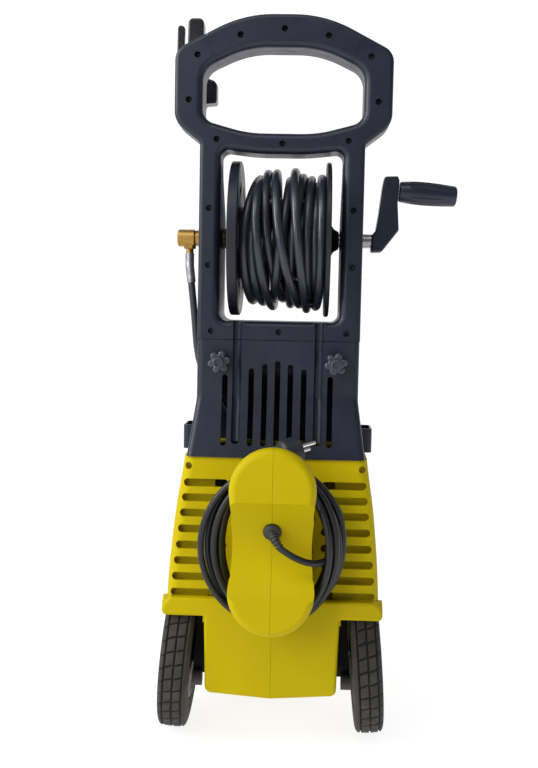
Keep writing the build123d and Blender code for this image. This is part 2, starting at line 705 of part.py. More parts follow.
SWITCH_Z, SWITCH_R = 262.0, 25.0
INLET_X, INLET_Z = 42.0, 96.0

with BuildPart() as front_cover:
    add(cover_block(0))
    add(cover_space.part, mode=Mode.SUBTRACT)
    for start in (-200.0, BOX_X + 1.5):
        with BuildSketch(side(start)):
            with Locations((WHEEL_Y, WHEEL_Z)):
                Circle(ARCH_R)
        extrude(amount=200 - BOX_X - 1.5, mode=Mode.SUBTRACT)
    # seat of the rotary switch: a shallow round dish with a hole for its shaft
    with BuildSketch(back(215)):
        with Locations((0, SWITCH_Z)):
            Circle(SWITCH_R + 9)
    extrude(amount=-10)
    with BuildSketch(back(219)):
        with Locations((0, SWITCH_Z)):
            Circle(SWITCH_R + 5)
    extrude(amount=-40, mode=Mode.SUBTRACT)
    with BuildSketch(back(200)):
        with Locations((0, SWITCH_Z)):
            Circle(6.05)
    extrude(amount=-40, mode=Mode.SUBTRACT)
    # cooling vents
    with BuildSketch(back(180)):
        with GridLocations(0, 11, 1, 6):
            with Locations((0, 178)):
                SlotOverall(120, 5)
    extrude(amount=-80, mode=Mode.SUBTRACT)
    # opening for the water inlet
    with BuildSketch(back(180)):
        with Locations((INLET_X, INLET_Z)):
            Circle(17)
    extrude(amount=-80, mode=Mode.SUBTRACT)
    # holes for the front feet
    with BuildSketch(Plane.XY.offset(0)):
        with Locations((-64, 196), (64, 196)):
            Circle(4.0)
    extrude(amount=30, mode=Mode.SUBTRACT)
put(front_cover.part, "front_cover")

# ---- chassis --------------------------------------------------------------
with BuildPart() as base_tray:
    with BuildSketch(side(-70)):
        with BuildLine():
            FilletPolyline((-20, 80.8), (-20, 76.8), (140.8, 76.8), (140.8, 16.4), (221, 16.4), (221, 20.4), (144.8, 20.4), (144.8, 80.8), radius=[1, 1, 1, 1, 1, 1, 2, 2], close=True)
        make_face()
    extrude(amount=140)
    # open box that carries the motor and pump
    with BuildSketch(Plane.XY.offset(79)):
        with Locations((0, 104)):
            RectangleRounded(96, 60, 8)
            RectangleRounded(86, 50, 4, mode=Mode.SUBTRACT)
    extrude(amount=33)
    with Locations((0, 104, 110)):
        Box(96, 60, 4)
put(base_tray.part, "base_tray")

with BuildPart() as front_feet:
    with BuildSketch(Plane.XY):
        with Locations((-64, 196), (64, 196)):
            Circle(14)
    extrude(amount=13)
    with BuildSketch(Plane.XY.offset(10)):
        with Locations((-64, 196), (64, 196)):
            Circle(3.95)
    extrude(amount=6.2)
    fillet(front_feet.faces().sort_by(Axis.Z)[0:2].edges(), 2.0)
put(front_feet.part, "front_feet")

# ---------------------------------------------------------------------------
# Wheels
# ---------------------------------------------------------------------------
HUB_SEAT_R = 66.0


with BuildPart() as axle_right:
    with BuildSketch(axle_plane(-62.0)):
        Circle(6.0)
    extrude(amount=62.0 + 16.0)
    with BuildSketch(axle_plane(14.2)):
        Circle(9.5)
    extrude(amount=2.0)
    chamfer(axle_right.faces().sort_by(Axis.X)[-1].edges(), 0.6)
with BuildPart() as wheel_axles:
    add(axle_right.part)
    add(axle_right.part.mirror(Plane.YZ))
put(wheel_axles.part, "wheel_axles")

# profiles across the tyre: along = distance along the axle, up = radius
W2 = WHEEL_W / 2
with BuildPart() as tyre_right:
    with BuildSketch(Plane(origin=axle_plane(0).origin, x_dir=axle_plane(0).z_dir, z_dir=(0, -1, 0))):
        with BuildLine():
            FilletPolyline((-W2 + 2, HUB_SEAT_R), (-W2, 80), (-W2, 96), (-W2 + 4, WHEEL_R - 0.6), (-1.2, WHEEL_R), (-1.2, WHEEL_R - 3), (1.2, WHEEL_R - 3),
                           (1.2, WHEEL_R), (W2 - 4, WHEEL_R - 0.6), (W2, 96), (W2, 80), (W2 - 2, HUB_SEAT_R),
                           radius=[0, 6, 4, 3, 0.3, 0, 0, 0.3, 3, 4, 6, 0], close=True)
        make_face()
    revolve(axis=Axis(axle_plane(0).origin, axle_plane(0).z_dir), revolution_arc=360)

with BuildPart() as wheel_hub_right:
    with BuildSketch(Plane(origin=axle_plane(0).origin, x_dir=axle_plane(0).z_dir, z_dir=(0, -1, 0))):
        with BuildLine():
            Polyline((-16.0, HUB_SEAT_R), (-16.0, 60.0), (-3.0, 57.5), (-3.0, 16.0), (-W2, 14.0), (-W2, 6.06), (14.0, 6.06), (14.0, 20.0), (4.0, 24.0),
                     (2.5, 56.0), (16.0, 60.0), (16.0, HUB_SEAT_R), close=True)
        make_face()
    revolve(axis=Axis(axle_plane(0).origin, axle_plane(0).z_dir), revolution_arc=360)
    # ribs on the outer side of the disc
    for k in range(10):
        with BuildSketch(axle_plane(3.0)):
            with PolarLocations(0, 1, start_angle=36 * k):
                with Locations((40, 0)):
                    Rectangle(38, 3.2)
        extrude(amount=7.5)
    # lightening holes between the ribs
    with BuildSketch(axle_plane(-10.0)):
        with PolarLocations(42, 10, start_angle=18):
            SlotOverall(16, 9)
    extrude(amount=30, mode=Mode.SUBTRACT)

with BuildPart() as hub_cap_right:
    with BuildSketch(Plane(origin=axle_plane(0).origin, x_dir=axle_plane(0).z_dir, z_dir=(0, -1, 0))):
        with BuildLine():
            Polyline((14.2, 10.5), (14.2, 19.5), (17.5, 19.5), (20.0, 17.0), (20.8, 12.0), (21.0, 0), (18.6, 0), (18.6, 10.5), close=True)
        make_face()
    revolve(axis=Axis(axle_plane(0).origin, axle_plane(0).z_dir), revolution_arc=360)

for piece, name in ((tyre_right, "tyre"), (wheel_hub_right, "wheel_hub"), (hub_cap_right, "hub_cap")):
    put(piece.part, name + "_right")
    put(piece.part.mirror(Plane.YZ), name + "_left")

# ---------------------------------------------------------------------------
# Motor and pump inside the body, upright, on the chassis
# ---------------------------------------------------------------------------
MY = 104.0                 # depth of the motor axis
with BuildPart() as pump_housing:
    with BuildSketch(Plane.XY.offset(112.4)):
        Circle(34)
        with Locations((0, 0)):
            RectangleRounded(84, 52, 10)
    extrude(amount=12)
    with BuildSketch(Plane.XY.offset(124.4)):
        Circle(36)
    extrude(amount=52)
    fillet(pump_housing.faces().sort_by(Axis.Z)[-1].edges(), 3)
    with PolarLocations(30, 6):
        CounterBoreHole(2.6, 4.6, 6, 20)
    with BuildSketch(Plane.XY.offset(170)):
        Circle(9.0)
    extrude(amount=10, mode=Mode.SUBTRACT)
    with Locations((0, -34.0 - 10, 148)):
        Box(80, 20, 44, mode=Mode.SUBTRACT)
pump_housing_part = pump_housing.part.moved(Location((0, MY, 0)))

with BuildPart() as pump_head:
    with BuildSketch(back(57.5)):
        with Locations((0, 148)):
            RectangleRounded(64, 42, 6)
    extrude(amount=-12.4)
    with BuildSketch(back(53.5)):
        with Locations((-20, 148), (0, 148), (20, 148)):
            RegularPolygon(7.5, 6)
    extrude(amount=-6)
pump_head_part = pump_head.part

with BuildPart() as motor_can:
    with BuildSketch(Plane.XY.offset(177.0)):
        Circle(52)
    extrude(amount=118)
    fillet(motor_can.edges().filter_by(GeomType.CIRCLE), 5)
    with BuildSketch(Plane.XY.offset(181)):
        Circle(48.5)
    extrude(amount=110.5, mode=Mode.SUBTRACT)
    with BuildSketch(Plane.XY.offset(170)):
        Circle(8.5)
    extrude(amount=140, mode=Mode.SUBTRACT)
    with BuildSketch(Plane.XY.offset(284)):
        with PolarLocations(30, 8):
            SlotOverall(26, 6)
    extrude(amount=20, mode=Mode.SUBTRACT)
    with BuildSketch(Plane.XY.offset(170)):
        with PolarLocations(30, 8):
            SlotOverall(26, 6)
    extrude(amount=13, mode=Mode.SUBTRACT)
motor_can_part = motor_can.part.moved(Location((0, MY, 0)))

# rotor: shaft, laminated core and cooling fan turn together
with BuildPart() as motor_rotor:
    with BuildSketch(Plane.XY.offset(171)):
        Circle(6.0)
    extrude(amount=146)
    with BuildSketch(Plane.XY.offset(196)):
        Circle(30)
    extrude(amount=70)
    with BuildSketch(Plane.XY.offset(303)):
        Circle(12)
    extrude(amount=12)
    with BuildSketch(Plane.XY.offset(303)):
        Circle(46)
    extrude(amount=2)
    for k in range(9):
        with BuildSketch(Plane.XY.offset(304)):
            with PolarLocations(0, 1, start_angle=40 * k):
                with Locations((28, 0)):
                    Rectangle(34, 2.2)
        extrude(amount=11)
motor_rotor_part = motor_rotor.part.moved(Location((0, MY, 0)))
for p, n in ((pump_housing_part, "pump_housing"), (pump_head_part, "pump_head"), (motor_can_part, "motor_can"), (motor_rotor_part, "motor_rotor")):
    put(p, n)

link_end, link_way = Vector(*LINK_PTS[-1]), (Vector(*LINK_PTS[-1]) - Vector(*LINK_PTS[-2])).normalized()
with BuildPart() as outlet_fitting:
    with BuildSketch(Plane(origin=(-32.1, 62.6, 148), z_dir=(-1, 0, 0))):
        Circle(5.0)
    extrude(amount=32)
    with BuildSketch(Plane(origin=link_end, z_dir=link_way)):
        Circle(6.5)
    extrude(amount=28)
put(outlet_fitting.part, "outlet_fitting")

# garden hose connection on the front
with BuildPart() as inlet_coupling:
    with BuildSketch(Plane(origin=(INLET_X, 150, INLET_Z), z_dir=(0, 1, 0))):
        Circle(10)
    extrude(amount=76)
    with BuildSketch(Plane(origin=(INLET_X, 224, INLET_Z), z_dir=(0, 1, 0))):
        RegularPolygon(16.5, 6)
    extrude(amount=13)
    with BuildSketch(Plane(origin=(INLET_X, 237, INLET_Z), z_dir=(0, 1, 0))):
        Circle(13.2)
    extrude(amount=14)
    with BuildSketch(Plane(origin=(INLET_X, 255, INLET_Z), z_dir=(0, 1, 0))):
        Circle(8.0)
    extrude(amount=-95, mode=Mode.SUBTRACT)
    # feed pipe up to the pump
    with BuildSketch(Plane.XY.offset(INLET_Z)):
        with Locations((INLET_X, 157)):
            Circle(6.5)
    extrude(amount=52)
    with BuildSketch(Plane(origin=(INLET_X, 157, INLET_Z + 46), z_dir=(-INLET_X, MY - 157, 0))):
        Circle(6.0)
    extrude(amount=40)
    with BuildSketch(Plane.XY.offset(124)):
        with Locations((0, MY)):
            Circle(36.0)
    extrude(amount=50, mode=Mode.SUBTRACT)
put(inlet_coupling.part, "inlet_coupling")

# ---- switch ---------------------------------------------------------------
with BuildPart() as switch_box:
    with BuildSketch(back(188)):
        with Locations((0, SWITCH_Z)):
            RectangleRounded(40, 44, 3)
    extrude(amount=-24)
    with BuildSketch(back(200)):
        with Locations((0, SWITCH_Z)):
            Circle(3.05)
    extrude(amount=-40, mode=Mode.SUBTRACT)
put(switch_box.part, "switch_box")
with BuildPart() as switch_knob:
    with BuildSketch(back(219.5)):
        with Locations((0, SWITCH_Z)):
            Circle(SWITCH_R)
    extrude(amount=-9)
    with BuildSketch(back(228)):
        with Locations((0, SWITCH_Z)):
            SlotOverall(2 * SWITCH_R - 3, 13, rotation=90)
    extrude(amount=-14)
    fillet(switch_knob.faces().sort_by(Axis.Y)[-1].edges(), 2.5)
    with BuildSketch(back(204)):
        with Locations((0, SWITCH_Z)):
            Circle(3.0)
    extrude(amount=-16)
    with BuildSketch(back(214)):
        with Locations((0, SWITCH_Z)):
            Circle(6.0)
    extrude(amount=-6)
put(switch_knob.part, "switch_knob")

# ---------------------------------------------------------------------------
# Clamping knobs that hold the frame to the housing
# ---------------------------------------------------------------------------
def star_knob(cx):
    with BuildPart() as k:
        with BuildSketch(back(-0.4)):
            with Locations((cx, KNOB_Z)):
                Circle(8.0)
        extrude(amount=9)
        with BuildSketch(back(-8.0)):
            with Locations((cx, KNOB_Z)):
                Circle(9.6)
                with PolarLocations(9.4, 6, start_angle=12):
                    Circle(4.3)
        extrude(amount=14)
        fillet(k.faces().filter_by(Axis.Y).sort_by(Axis.Y)[0].edges(), 2.2)
        with BuildSketch(back(-21.0)):
            with Locations((cx, KNOB_Z)):
                Circle(6.2)
        extrude(amount=14)
        fillet(k.faces().filter_by(Axis.Y).sort_by(Axis.Y)[0].edges(), 1.0)
        with BuildSketch(back(-36)):
            with Locations((cx, KNOB_Z)):
                Circle(4.3)
        extrude(amount=-3, mode=Mode.SUBTRACT)
        with BuildSketch(back(-1)):
            with Locations((cx, KNOB_Z)):
                Circle(4.0)
        extrude(amount=-34)
    return k.part


put(star_knob(-KNOB_X), "star_knob_left")
put(star_knob(KNOB_X), "star_knob_right")

# ---------------------------------------------------------------------------
# Hose reel
# ---------------------------------------------------------------------------
def on_axis(x):
    """Sketch plane square to the reel axis at x, normal +X; sketch x = Y, sketch y = Z."""
    return Plane(origin=(x, RY, RZ), x_dir=(0, 1, 0), z_dir=(1, 0, 0))


with BuildPart() as reel_bushes:
    for x0, r in ((-102.0, 10.05), (73.2, 9.05)):
        with BuildSketch(on_axis(x0)):
            Circle(12.95)
            Circle(r, mode=Mode.SUBTRACT)
        extrude(amount=28.8)
put(reel_bushes.part, "reel_bushes")

with BuildPart() as reel_drum:
    with BuildSketch(on_axis(-50.6)):
        Circle(DRUM_R)
    extrude(amount=105.2)
    with BuildSketch(on_axis(-47.6)):
        Circle(DRUM_R - 3)
        Circle(15, mode=Mode.SUBTRACT)
    extrude(amount=99.2, mode=Mode.SUBTRACT)
    with BuildSketch(on_axis(-60)):
        Circle(10.0)
    extrude(amount=52, mode=Mode.SUBTRACT)
    with BuildSketch(on_axis(12)):
        Circle(9.0)
    extrude(amount=60, mode=Mode.SUBTRACT)
put(reel_drum.part, "reel_drum")


def flange(x_in, x_out, hub_end, bore, hub_r):
    """Reel cheek between the hose (x_in) and the column (x_out), with a flared hub out to hub_end."""
    s = 1 if x_out > x_in else -1
    with BuildPart() as f:
        with BuildSketch(Plane(origin=(0, RY, RZ), x_dir=(1, 0, 0), z_dir=(0, -1, 0))):
            with BuildLine():
                Polyline((x_in, bore), (x_in, FLANGE_R - 2.0), (x_in + s * 1.2, FLANGE_R), (x_out - s * 1.2, FLANGE_R), (x_out, FLANGE_R - 1.5),
                         (x_out, FLANGE_R - 6.0), (x_in + s * 3.2, FLANGE_R - 7.0), (x_in + s * 3.2, 30.0), (x_out, 22.0),
                         (x_out + (hub_end - x_out) * 0.45, 14.5), (hub_end, hub_r), (hub_end, bore), close=True)
            make_face()
        revolve(axis=Axis((0, RY, RZ), (1, 0, 0)), revolution_arc=360)
        # stiffening ribs on the outer side
        for k in range(6):
            with BuildSketch(on_axis(min(x_in + s * 3.0, x_out - s * 0.6))):
                with PolarLocations(0, 1, start_angle=60 * k + 30):
                    with Locations((57, 0)):
                        Rectangle(72, 2.4)
            extrude(amount=abs(x_out - x_in) - 3.6)
        # windows in the cheek
        with BuildSketch(on_axis(min(x_in, x_out) - 3)):
            with PolarLocations(66, 6, start_angle=0):
                SlotOverall(34, 13, rotation=90)
        extrude(amount=abs(x_out - x_in) + 6, mode=Mode.SUBTRACT)
    return f.part


reel_flange_left = flange(-50.8, -63.2, -72.0, 10.0, 12.0)
reel_flange_right = flange(54.8, 61.0, 72.0, 9.0, 11.0)
for p, n in ((reel_flange_left, "reel_flange_left"), (reel_flange_right, "reel_flange_right")):
    put(p, n)

with BuildPart() as reel_hollow_shaft:
    with BuildSketch(on_axis(-108.6)):
        Circle(10.0)
    extrude(amount=96.0)
    with BuildSketch(on_axis(-124.0)):
        Circle(6.0)
    extrude(amount=21.0)
    with BuildSketch(on_axis(-126.0)):
        Circle(3.2)
    extrude(amount=106.0, mode=Mode.SUBTRACT)
put(reel_hollow_shaft.part, "reel_hollow_shaft")

CRANK_IN = 112.7
with BuildPart() as reel_shaft:
    with BuildSketch(on_axis(16.0)):
        Circle(9.0)
    extrude(amount=CRANK_IN + 8.0 - 16.0)
put(reel_shaft.part, "reel_shaft")

# crank arm in the plane x-z, with the grip's pin leaning a little outwards and down
GRIP_A = Vector(145.6, RY, 689.6)
GRIP_DIR = Vector(math.cos(math.radians(4.0)), 0, -math.sin(math.radians(4.0)))
GRIP_L = 73.0
with BuildPart() as crank_arm:
    with BuildSketch(back(RY - 13)):
        with BuildLine():
            FilletPolyline((112.7, 612.6), (126.0, 613.2), (146.8, 640.5), (144.4, 675.0), (146.0, 702.5), (143.8, 707.6), (127.6, 707.0), (125.2, 694.9),
                           (121.4, 661.8), (118.2, 640.0), (113.0, 634.0), radius=[2, 5, 5, 3, 2, 1.5, 3, 8, 8, 4, 3], close=True)
        make_face()
    extrude(amount=-26)
    fillet(crank_arm.faces().filter_by(Axis.Y).edges(), 2.5)
    with BuildSketch(on_axis(100)):
        Circle(9.0)
    extrude(amount=CRANK_IN + 8.2 - 100, mode=Mode.SUBTRACT)
    with BuildSketch(Plane(origin=GRIP_A - GRIP_DIR * 14, z_dir=GRIP_DIR)):
        Circle(4.0)
    extrude(amount=30, mode=Mode.SUBTRACT)
put(crank_arm.part, "crank_arm")

with BuildPart() as crank_grip_pin:
    with BuildSketch(Plane(origin=GRIP_A - GRIP_DIR * 13.8, z_dir=GRIP_DIR)):
        Circle(4.0)
    extrude(amount=13.8 + GRIP_L - 6.0)
put(crank_grip_pin.part, "crank_grip_pin")

grip_plane = Plane(origin=GRIP_A, x_dir=GRIP_DIR, z_dir=(0, -1, 0))
with BuildPart() as crank_grip:
    with BuildSketch(grip_plane):
        with BuildLine():
            a = Polyline((1.0, 4.06), (1.0, 11.4), (2.2, 12.6), (5.0, 13.0))
            b = Spline((5.0, 13.0), (28.0, 14.6), (50.0, 14.0), (GRIP_L - 3.0, 12.6), tangents=[(1, 0.12), (1, -0.10)])
            c = ThreePointArc((GRIP_L - 3.0, 12.6), (GRIP_L - 0.6, 10.9), (GRIP_L, 8.5))
            Polyline(c @ 1, (GRIP_L, 0), (GRIP_L - 5.0, 0), (GRIP_L - 5.0, 4.06), a @ 0)
        make_face()
    revolve(axis=Axis(GRIP_A, GRIP_DIR), revolution_arc=360)
    # finger flutes along the grip
    for k in range(8):
        t = math.radians(45 * k + 22.5)
        with BuildSketch(Plane(origin=GRIP_A + GRIP_DIR * 14 + Vector(0, math.cos(t) * 16.6, math.sin(t) * 16.6), z_dir=GRIP_DIR)):
            Circle(3.2)
        extrude(amount=42, mode=Mode.SUBTRACT)
put(crank_grip.part, "crank_grip")

# hose on the reel: outer shape of the loose winding
with BuildPart() as pressure_hose_coil:
    with BuildSketch(on_axis(-50.3)):
        Circle(84.0)
        Circle(DRUM_R + 0.4, mode=Mode.SUBTRACT)
    extrude(amount=104.6)
put(pressure_hose_coil.part, "pressure_hose_coil")

with BuildPart() as pressure_hose_connector:
    with BuildSketch(Plane(origin=(24.0, RY + 89.6 * math.cos(math.radians(-35)) - 15 * math.sin(math.radians(35)),
                                   RZ + 89.6 * math.sin(math.radians(-35)) - 15 * math.cos(math.radians(35))),
                           z_dir=(0, math.sin(math.radians(35)), math.cos(math.radians(35))))):
        Circle(5.4)
    extrude(amount=30)
put(pressure_hose_connector.part, "pressure_hose_connector")

# ---------------------------------------------------------------------------
# Swivel on the left end of the reel, and the short hose down to the pump
# ---------------------------------------------------------------------------
SWIVEL_X = -116.5
with BuildPart() as swivel_elbow:
    with BuildSketch(on_axis(-131.7)):
        Circle(10.8)
    extrude(amount=22.4)
    chamfer(swivel_elbow.faces().filter_by(Axis.X).edges(), 1.6)
    with BuildSketch(Plane.XY.offset(RZ - 13.5)):
        with Locations((SWIVEL_X, RY)):
            RegularPolygon(7.6, 6)
    extrude(amount=10)
    with BuildSketch(on_axis(-125.0)):
        Circle(6.05)
    extrude(amount=30, mode=Mode.SUBTRACT)
put(swivel_elbow.part, "swivel_elbow")

with BuildPart() as link_hose_nipple:
    with BuildSketch(Plane.XY.offset(608.0)):
        with Locations((SWIVEL_X, RY)):
            Circle(4.7)
    extrude(amount=5.4)
put(link_hose_nipple.part, "link_hose_nipple")

link_start = Vector(*LINK_PTS[0])
link_dir = (Vector(*LINK_PTS[1]) - Vector(*LINK_PTS[0])).normalized()
with BuildPart() as link_hose_ferrule:
    with BuildSketch(Plane(origin=link_start, z_dir=link_dir * -1)):
        Circle(5.6)
    extrude(amount=20)
    with BuildSketch(Plane.XY.offset(607.9)):
        with Locations((SWIVEL_X, RY)):
            Circle(5.6)
    extrude(amount=-17)
    with Locations((SWIVEL_X, RY, 590.9)):
        Sphere(5.6)
put(link_hose_ferrule.part, "link_hose_ferrule")


def tube(points, radii, d):
    """Plain round tube along straight runs joined by tangent arcs."""
    with BuildPart() as t:
        with BuildLine() as way:
            FilletPolyline(*points, radius=radii)
        with BuildSketch(Plane(origin=points[0], z_dir=Vector(*points[1]) - Vector(*points[0]))):
            Circle(d / 2)
        sweep(path=way.wire())
    print("tube", round(way.wire().length, 1), "volume ratio", round(t.part.volume / (math.pi * d * d / 4 * way.wire().length), 4),
          "least radius", round(min(radii), 1), "diameters", round(min(radii) / d, 1))
    return t.part


put(tube(LINK_PTS, LINK_RADII, LINK_D), "link_hose")

# ---------------------------------------------------------------------------
# Mains lead: gland, visible ends, wound part and plug
# ---------------------------------------------------------------------------
TAIL_PTS = [(9.5, -101.5, 268.3), (18.5, -104.3, 262.8), (29.5, -104.8, 257.0), (41.0, -101.5, 252.2), (52.0, -94.8, 249.6),
            (62.0, -86.0, 250.6), (69.8, -76.3, 255.0), (75.6, -66.8, 262.0)]
PLUG_A = Vector(0.865, 0.45, 0.215).normalized()          # along the pins
PLUG_FACE = Vector(28.0, -65.0, 376.9)                    # middle of the face the pins stand on
PLUG_E = Vector(0.40, -0.38, -0.83)                       # way the lead leaves the plug
PLUG_E = (PLUG_E - PLUG_A * PLUG_E.dot(PLUG_A)).normalized()
PLUG_MID = PLUG_FACE - PLUG_A * 12.0
END_PTS = [(27.5, -83.0, 350.5), (35.0, -85.3, 341.5), (46.0, -85.8, 328.0), (54.6, -83.5, 310.5), (61.8, -77.0, 291.5), (66.0, -67.6, 275.0)]
END_0 = Vector(*END_PTS[0])
end_dir = (Vector(*END_PTS[1]) - END_0).normalized()
tail_dir = (Vector(*TAIL_PTS[1]) - Vector(*TAIL_PTS[0])).normalized()
gland_top = Vector(0, GLAND_Y, GLAND_Z) + GLAND_N * 4.5

with BuildPart() as cable_gland:
    with BuildSketch(Plane(origin=Vector(0, GLAND_Y, GLAND_Z) - GLAND_N * 1.5, x_dir=(1, 0, 0), z_dir=GLAND_N)):
        Circle(10.7)
    extrude(amount=6.0)
    fillet(cable_gland.faces().sort_by(Axis(Vector(0, GLAND_Y, GLAND_Z), GLAND_N))[-1].edges(), 3.0)
    with BuildSketch(side(-20)):
        with Locations((SADDLE_Y, SADDLE_Z)):
            Circle(SADDLE_R - 0.05)
    extrude(amount=40, mode=Mode.INTERSECT)
    with BuildSketch(Plane(origin=Vector(0, GLAND_Y, GLAND_Z) + GLAND_N * 1.0, x_dir=(1, 0, 0), z_dir=GLAND_N)):
        Circle(5.95)
    extrude(amount=-12)
    # tapered strain relief
    with Locations(gland_top - GLAND_N * 1.0):
        Sphere(5.0)
    with BuildSketch(Plane(origin=gland_top - GLAND_N * 1.0, z_dir=Vector(*TAIL_PTS[0]) - gland_top)):
        Circle(4.9)
    with BuildSketch(Plane(origin=Vector(*TAIL_PTS[0]), z_dir=tail_dir)):
        Circle(4.3)
    loft()
put(cable_gland.part, "cable_gland")
put(tube(TAIL_PTS, run_radii(TAIL_PTS, 5 * CORD_D), CORD_D), "power_cord_tail")
put(tube(END_PTS, run_radii(END_PTS, 5 * CORD_D), CORD_D), "power_cord_end")

with BuildPart() as power_cord_coil:
    with BuildSketch(back(-74.0)):
        with Locations((0, 261.0)):
            Ellipse(91.5, 95.5)
        with Locations((0, 264.0)):
            Ellipse(62.5, 84.0, mode=Mode.SUBTRACT)
    extrude(amount=-26.0)
    fillet(power_cord_coil.edges().filter_by(lambda e: e.geom_type != GeomType.LINE), 3.8)
put(power_cord_coil.part, "power_cord_coil")

with BuildPart() as plug_body:
    with BuildSketch(Plane(origin=PLUG_FACE, z_dir=PLUG_A)):
        Circle(16.5)
    extrude(amount=-24.0)
    fillet(plug_body.faces().sort_by(Axis(PLUG_FACE, PLUG_A))[0].edges(), 5.0)
    fillet(plug_body.faces().sort_by(Axis(PLUG_FACE, PLUG_A))[-1].edges(), 1.5)
    with BuildSketch(Plane(origin=PLUG_MID + PLUG_E * 8.0, z_dir=PLUG_E)):
        Circle(7.0)
    with BuildSketch(Plane(origin=END_0, z_dir=end_dir)):
        Circle(4.3)
    loft()
put(plug_body.part, "plug_body")
PLUG_Y = PLUG_A.cross(PLUG_E).normalized()
pins_plane = Plane(origin=PLUG_FACE, x_dir=PLUG_Y, z_dir=PLUG_A)
with BuildPart() as plug_pins:
    with BuildSketch(pins_plane.offset(0.02)):
        with Locations((-9.5, 0), (9.5, 0)):
            Circle(2.4)
    extrude(amount=19.0)
    fillet(plug_pins.faces().sort_by(Axis(PLUG_FACE, PLUG_A))[-2:].edges(), 1.2)
put(plug_pins.part, "plug_pins")

# ---------------------------------------------------------------------------
# Trigger gun, stowed barrel down in front of the left column
# ---------------------------------------------------------------------------
GUN_Y, GUN_X = 116.0, -117.0
GUN = [(-141.5, 788), (-105.2, 788), (-105.2, 801), (-103.5, 804.2), (-89.5, 805.5), (-89.5, 829.5), (-93.0, 834.0), (-104, 838), (-109, 850),
       (-107.9, 880), (-107.8, 913.5), (-128.0, 913.5), (-128.8, 880), (-128.4, 850), (-131.4, 816), (-131.4, 812), (-141.5, 807)]
GUN_R = [3, 3, 2, 1, 3.5, 3.5, 3.5, 6, 12, 60, 6.5, 6.5, 60, 20, 1, 1, 3]


def gun_half(y0, y1, rim_y):
    with BuildPart() as g:
        with BuildSketch(back(y0)):
            with BuildLine():
                FilletPolyline(*GUN, radius=GUN_R, close=True)
            make_face()
        extrude(amount=-(y1 - y0))
        outer = [f for f in g.faces().filter_by(Axis.Y) if abs(f.center().Y - rim_y) < 0.01][0]
        fillet(outer.outer_wire().edges(), 2.4)
        # barrel seat
        with BuildSketch(Plane.XY.offset(780)):
            with Locations((GUN_X, GUN_Y)):
                Circle(8.0)
        extrude(amount=20, mode=Mode.SUBTRACT)
        # room for the root of the trigger
        with Locations((-137.0, GUN_Y, 801.0)):
            Box(12.4, 11.0, 22.0, mode=Mode.SUBTRACT)
        with BuildSketch(back(100)):
            with Locations((-135.6, 801)):
                Circle(1.9)
        extrude(amount=-40, mode=Mode.SUBTRACT)
    return g.part


gun_front = gun_half(GUN_Y + 0.1, GUN_Y + 12.5, GUN_Y + 12.5)
gun_rear = gun_half(GUN_Y - 12.5, GUN_Y - 0.1, GUN_Y - 12.5)
with BuildPart() as gun_shell_front:
    add(gun_front)
    with BuildSketch(back(GUN_Y + 4)):
        with Locations((-108, 818)):
            Circle(2.55)
    extrude(amount=-20, mode=Mode.SUBTRACT)
put(gun_shell_front.part, "gun_shell_front")
put(gun_rear, "gun_shell_rear")

with BuildPart() as gun_barrel:
    with BuildSketch(Plane.XY.offset(776)):
        with Locations((GUN_X, GUN_Y)):
            Circle(8.0)
    extrude(amount=23.9)
    with BuildSketch(Plane.XY.offset(769)):
        with Locations((GUN_X, GUN_Y)):
            Circle(6.6)
    extrude(amount=10)
    with BuildSketch(Plane.XY.offset(768)):
        with Locations((GUN_X, GUN_Y)):
            Circle(4.0)
    extrude(amount=26, mode=Mode.SUBTRACT)
put(gun_barrel.part, "gun_barrel")

TRIG_X, TRIG_Z = -135.6, 801.0
with BuildPart() as gun_trigger:
    with BuildSketch(back(GUN_Y - 5.2)):
        with BuildLine():
            FilletPolyline((-138.8, 793.5), (-132.2, 793.5), (-132.2, 806), (-134.6, 819), (-133.3, 904.5), (-142.8, 907.0), (-143.8, 819),
                           (-141.0, 807.5), radius=[3, 3, 6, 12, 4, 4, 12, 6], close=True)
        make_face()
    extrude(amount=-10.4)
    fillet([e for e in gun_trigger.faces().filter_by(Axis.Y).edges() if e.center().Z > 811], 1.6)
    with BuildSketch(back(100)):
        with Locations((TRIG_X, TRIG_Z)):
            Circle(1.95)
    extrude(amount=-40, mode=Mode.SUBTRACT)
put(gun_trigger.part, "gun_trigger")
with BuildPart() as gun_trigger_pin:
    with BuildSketch(back(GUN_Y - 12.5)):
        with Locations((TRIG_X, TRIG_Z)):
            Circle(1.9)
    extrude(amount=-25)
put(gun_trigger_pin.part, "gun_trigger_pin")
with BuildPart() as gun_safety_catch:
    with BuildSketch(back(GUN_Y + 12.8)):
        with Locations((-108, 818)):
            Circle(6.0)
        with Locations((-108, 811)):
            SlotOverall(16, 6, rotation=90)
    extrude(amount=-3.2)
    with BuildSketch(back(GUN_Y + 4.4)):
        with Locations((-108, 818)):
            Circle(2.5)
    extrude(amount=-9.4)
put(gun_safety_catch.part, "gun_safety_catch")

# bracket on the handle loop that the gun hangs in
with BuildPart() as gun_hook:
    with BuildSketch(side(-130.0)):
        with BuildLine():
            FilletPolyline((LOOP_D + 0.02, 788), (LOOP_D + 0.02, 808), (52.02, 808), (57, 797), (98, 787.4), (128, 787.4), (128, 780.4), (97, 780.4),
                           (62, 785.5), (53, 787.0), radius=[0.5, 1.5, 1.5, 8, 8, 1, 1, 8, 4, 3], close=True)
        make_face()
    extrude(amount=25.4)
    with BuildSketch(Plane.XY.offset(770)):
        with Locations((GUN_X, GUN_Y)):
            Circle(8.8)
        with Locations((GUN_X, GUN_Y + 10)):
            Rectangle(12.4, 22)
    extrude(amount=30, mode=Mode.SUBTRACT)
put(gun_hook.part, "gun_hook")
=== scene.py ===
import json
import math
import random

import bmesh
import bpy
import numpy as np
from mathutils import Matrix, Vector

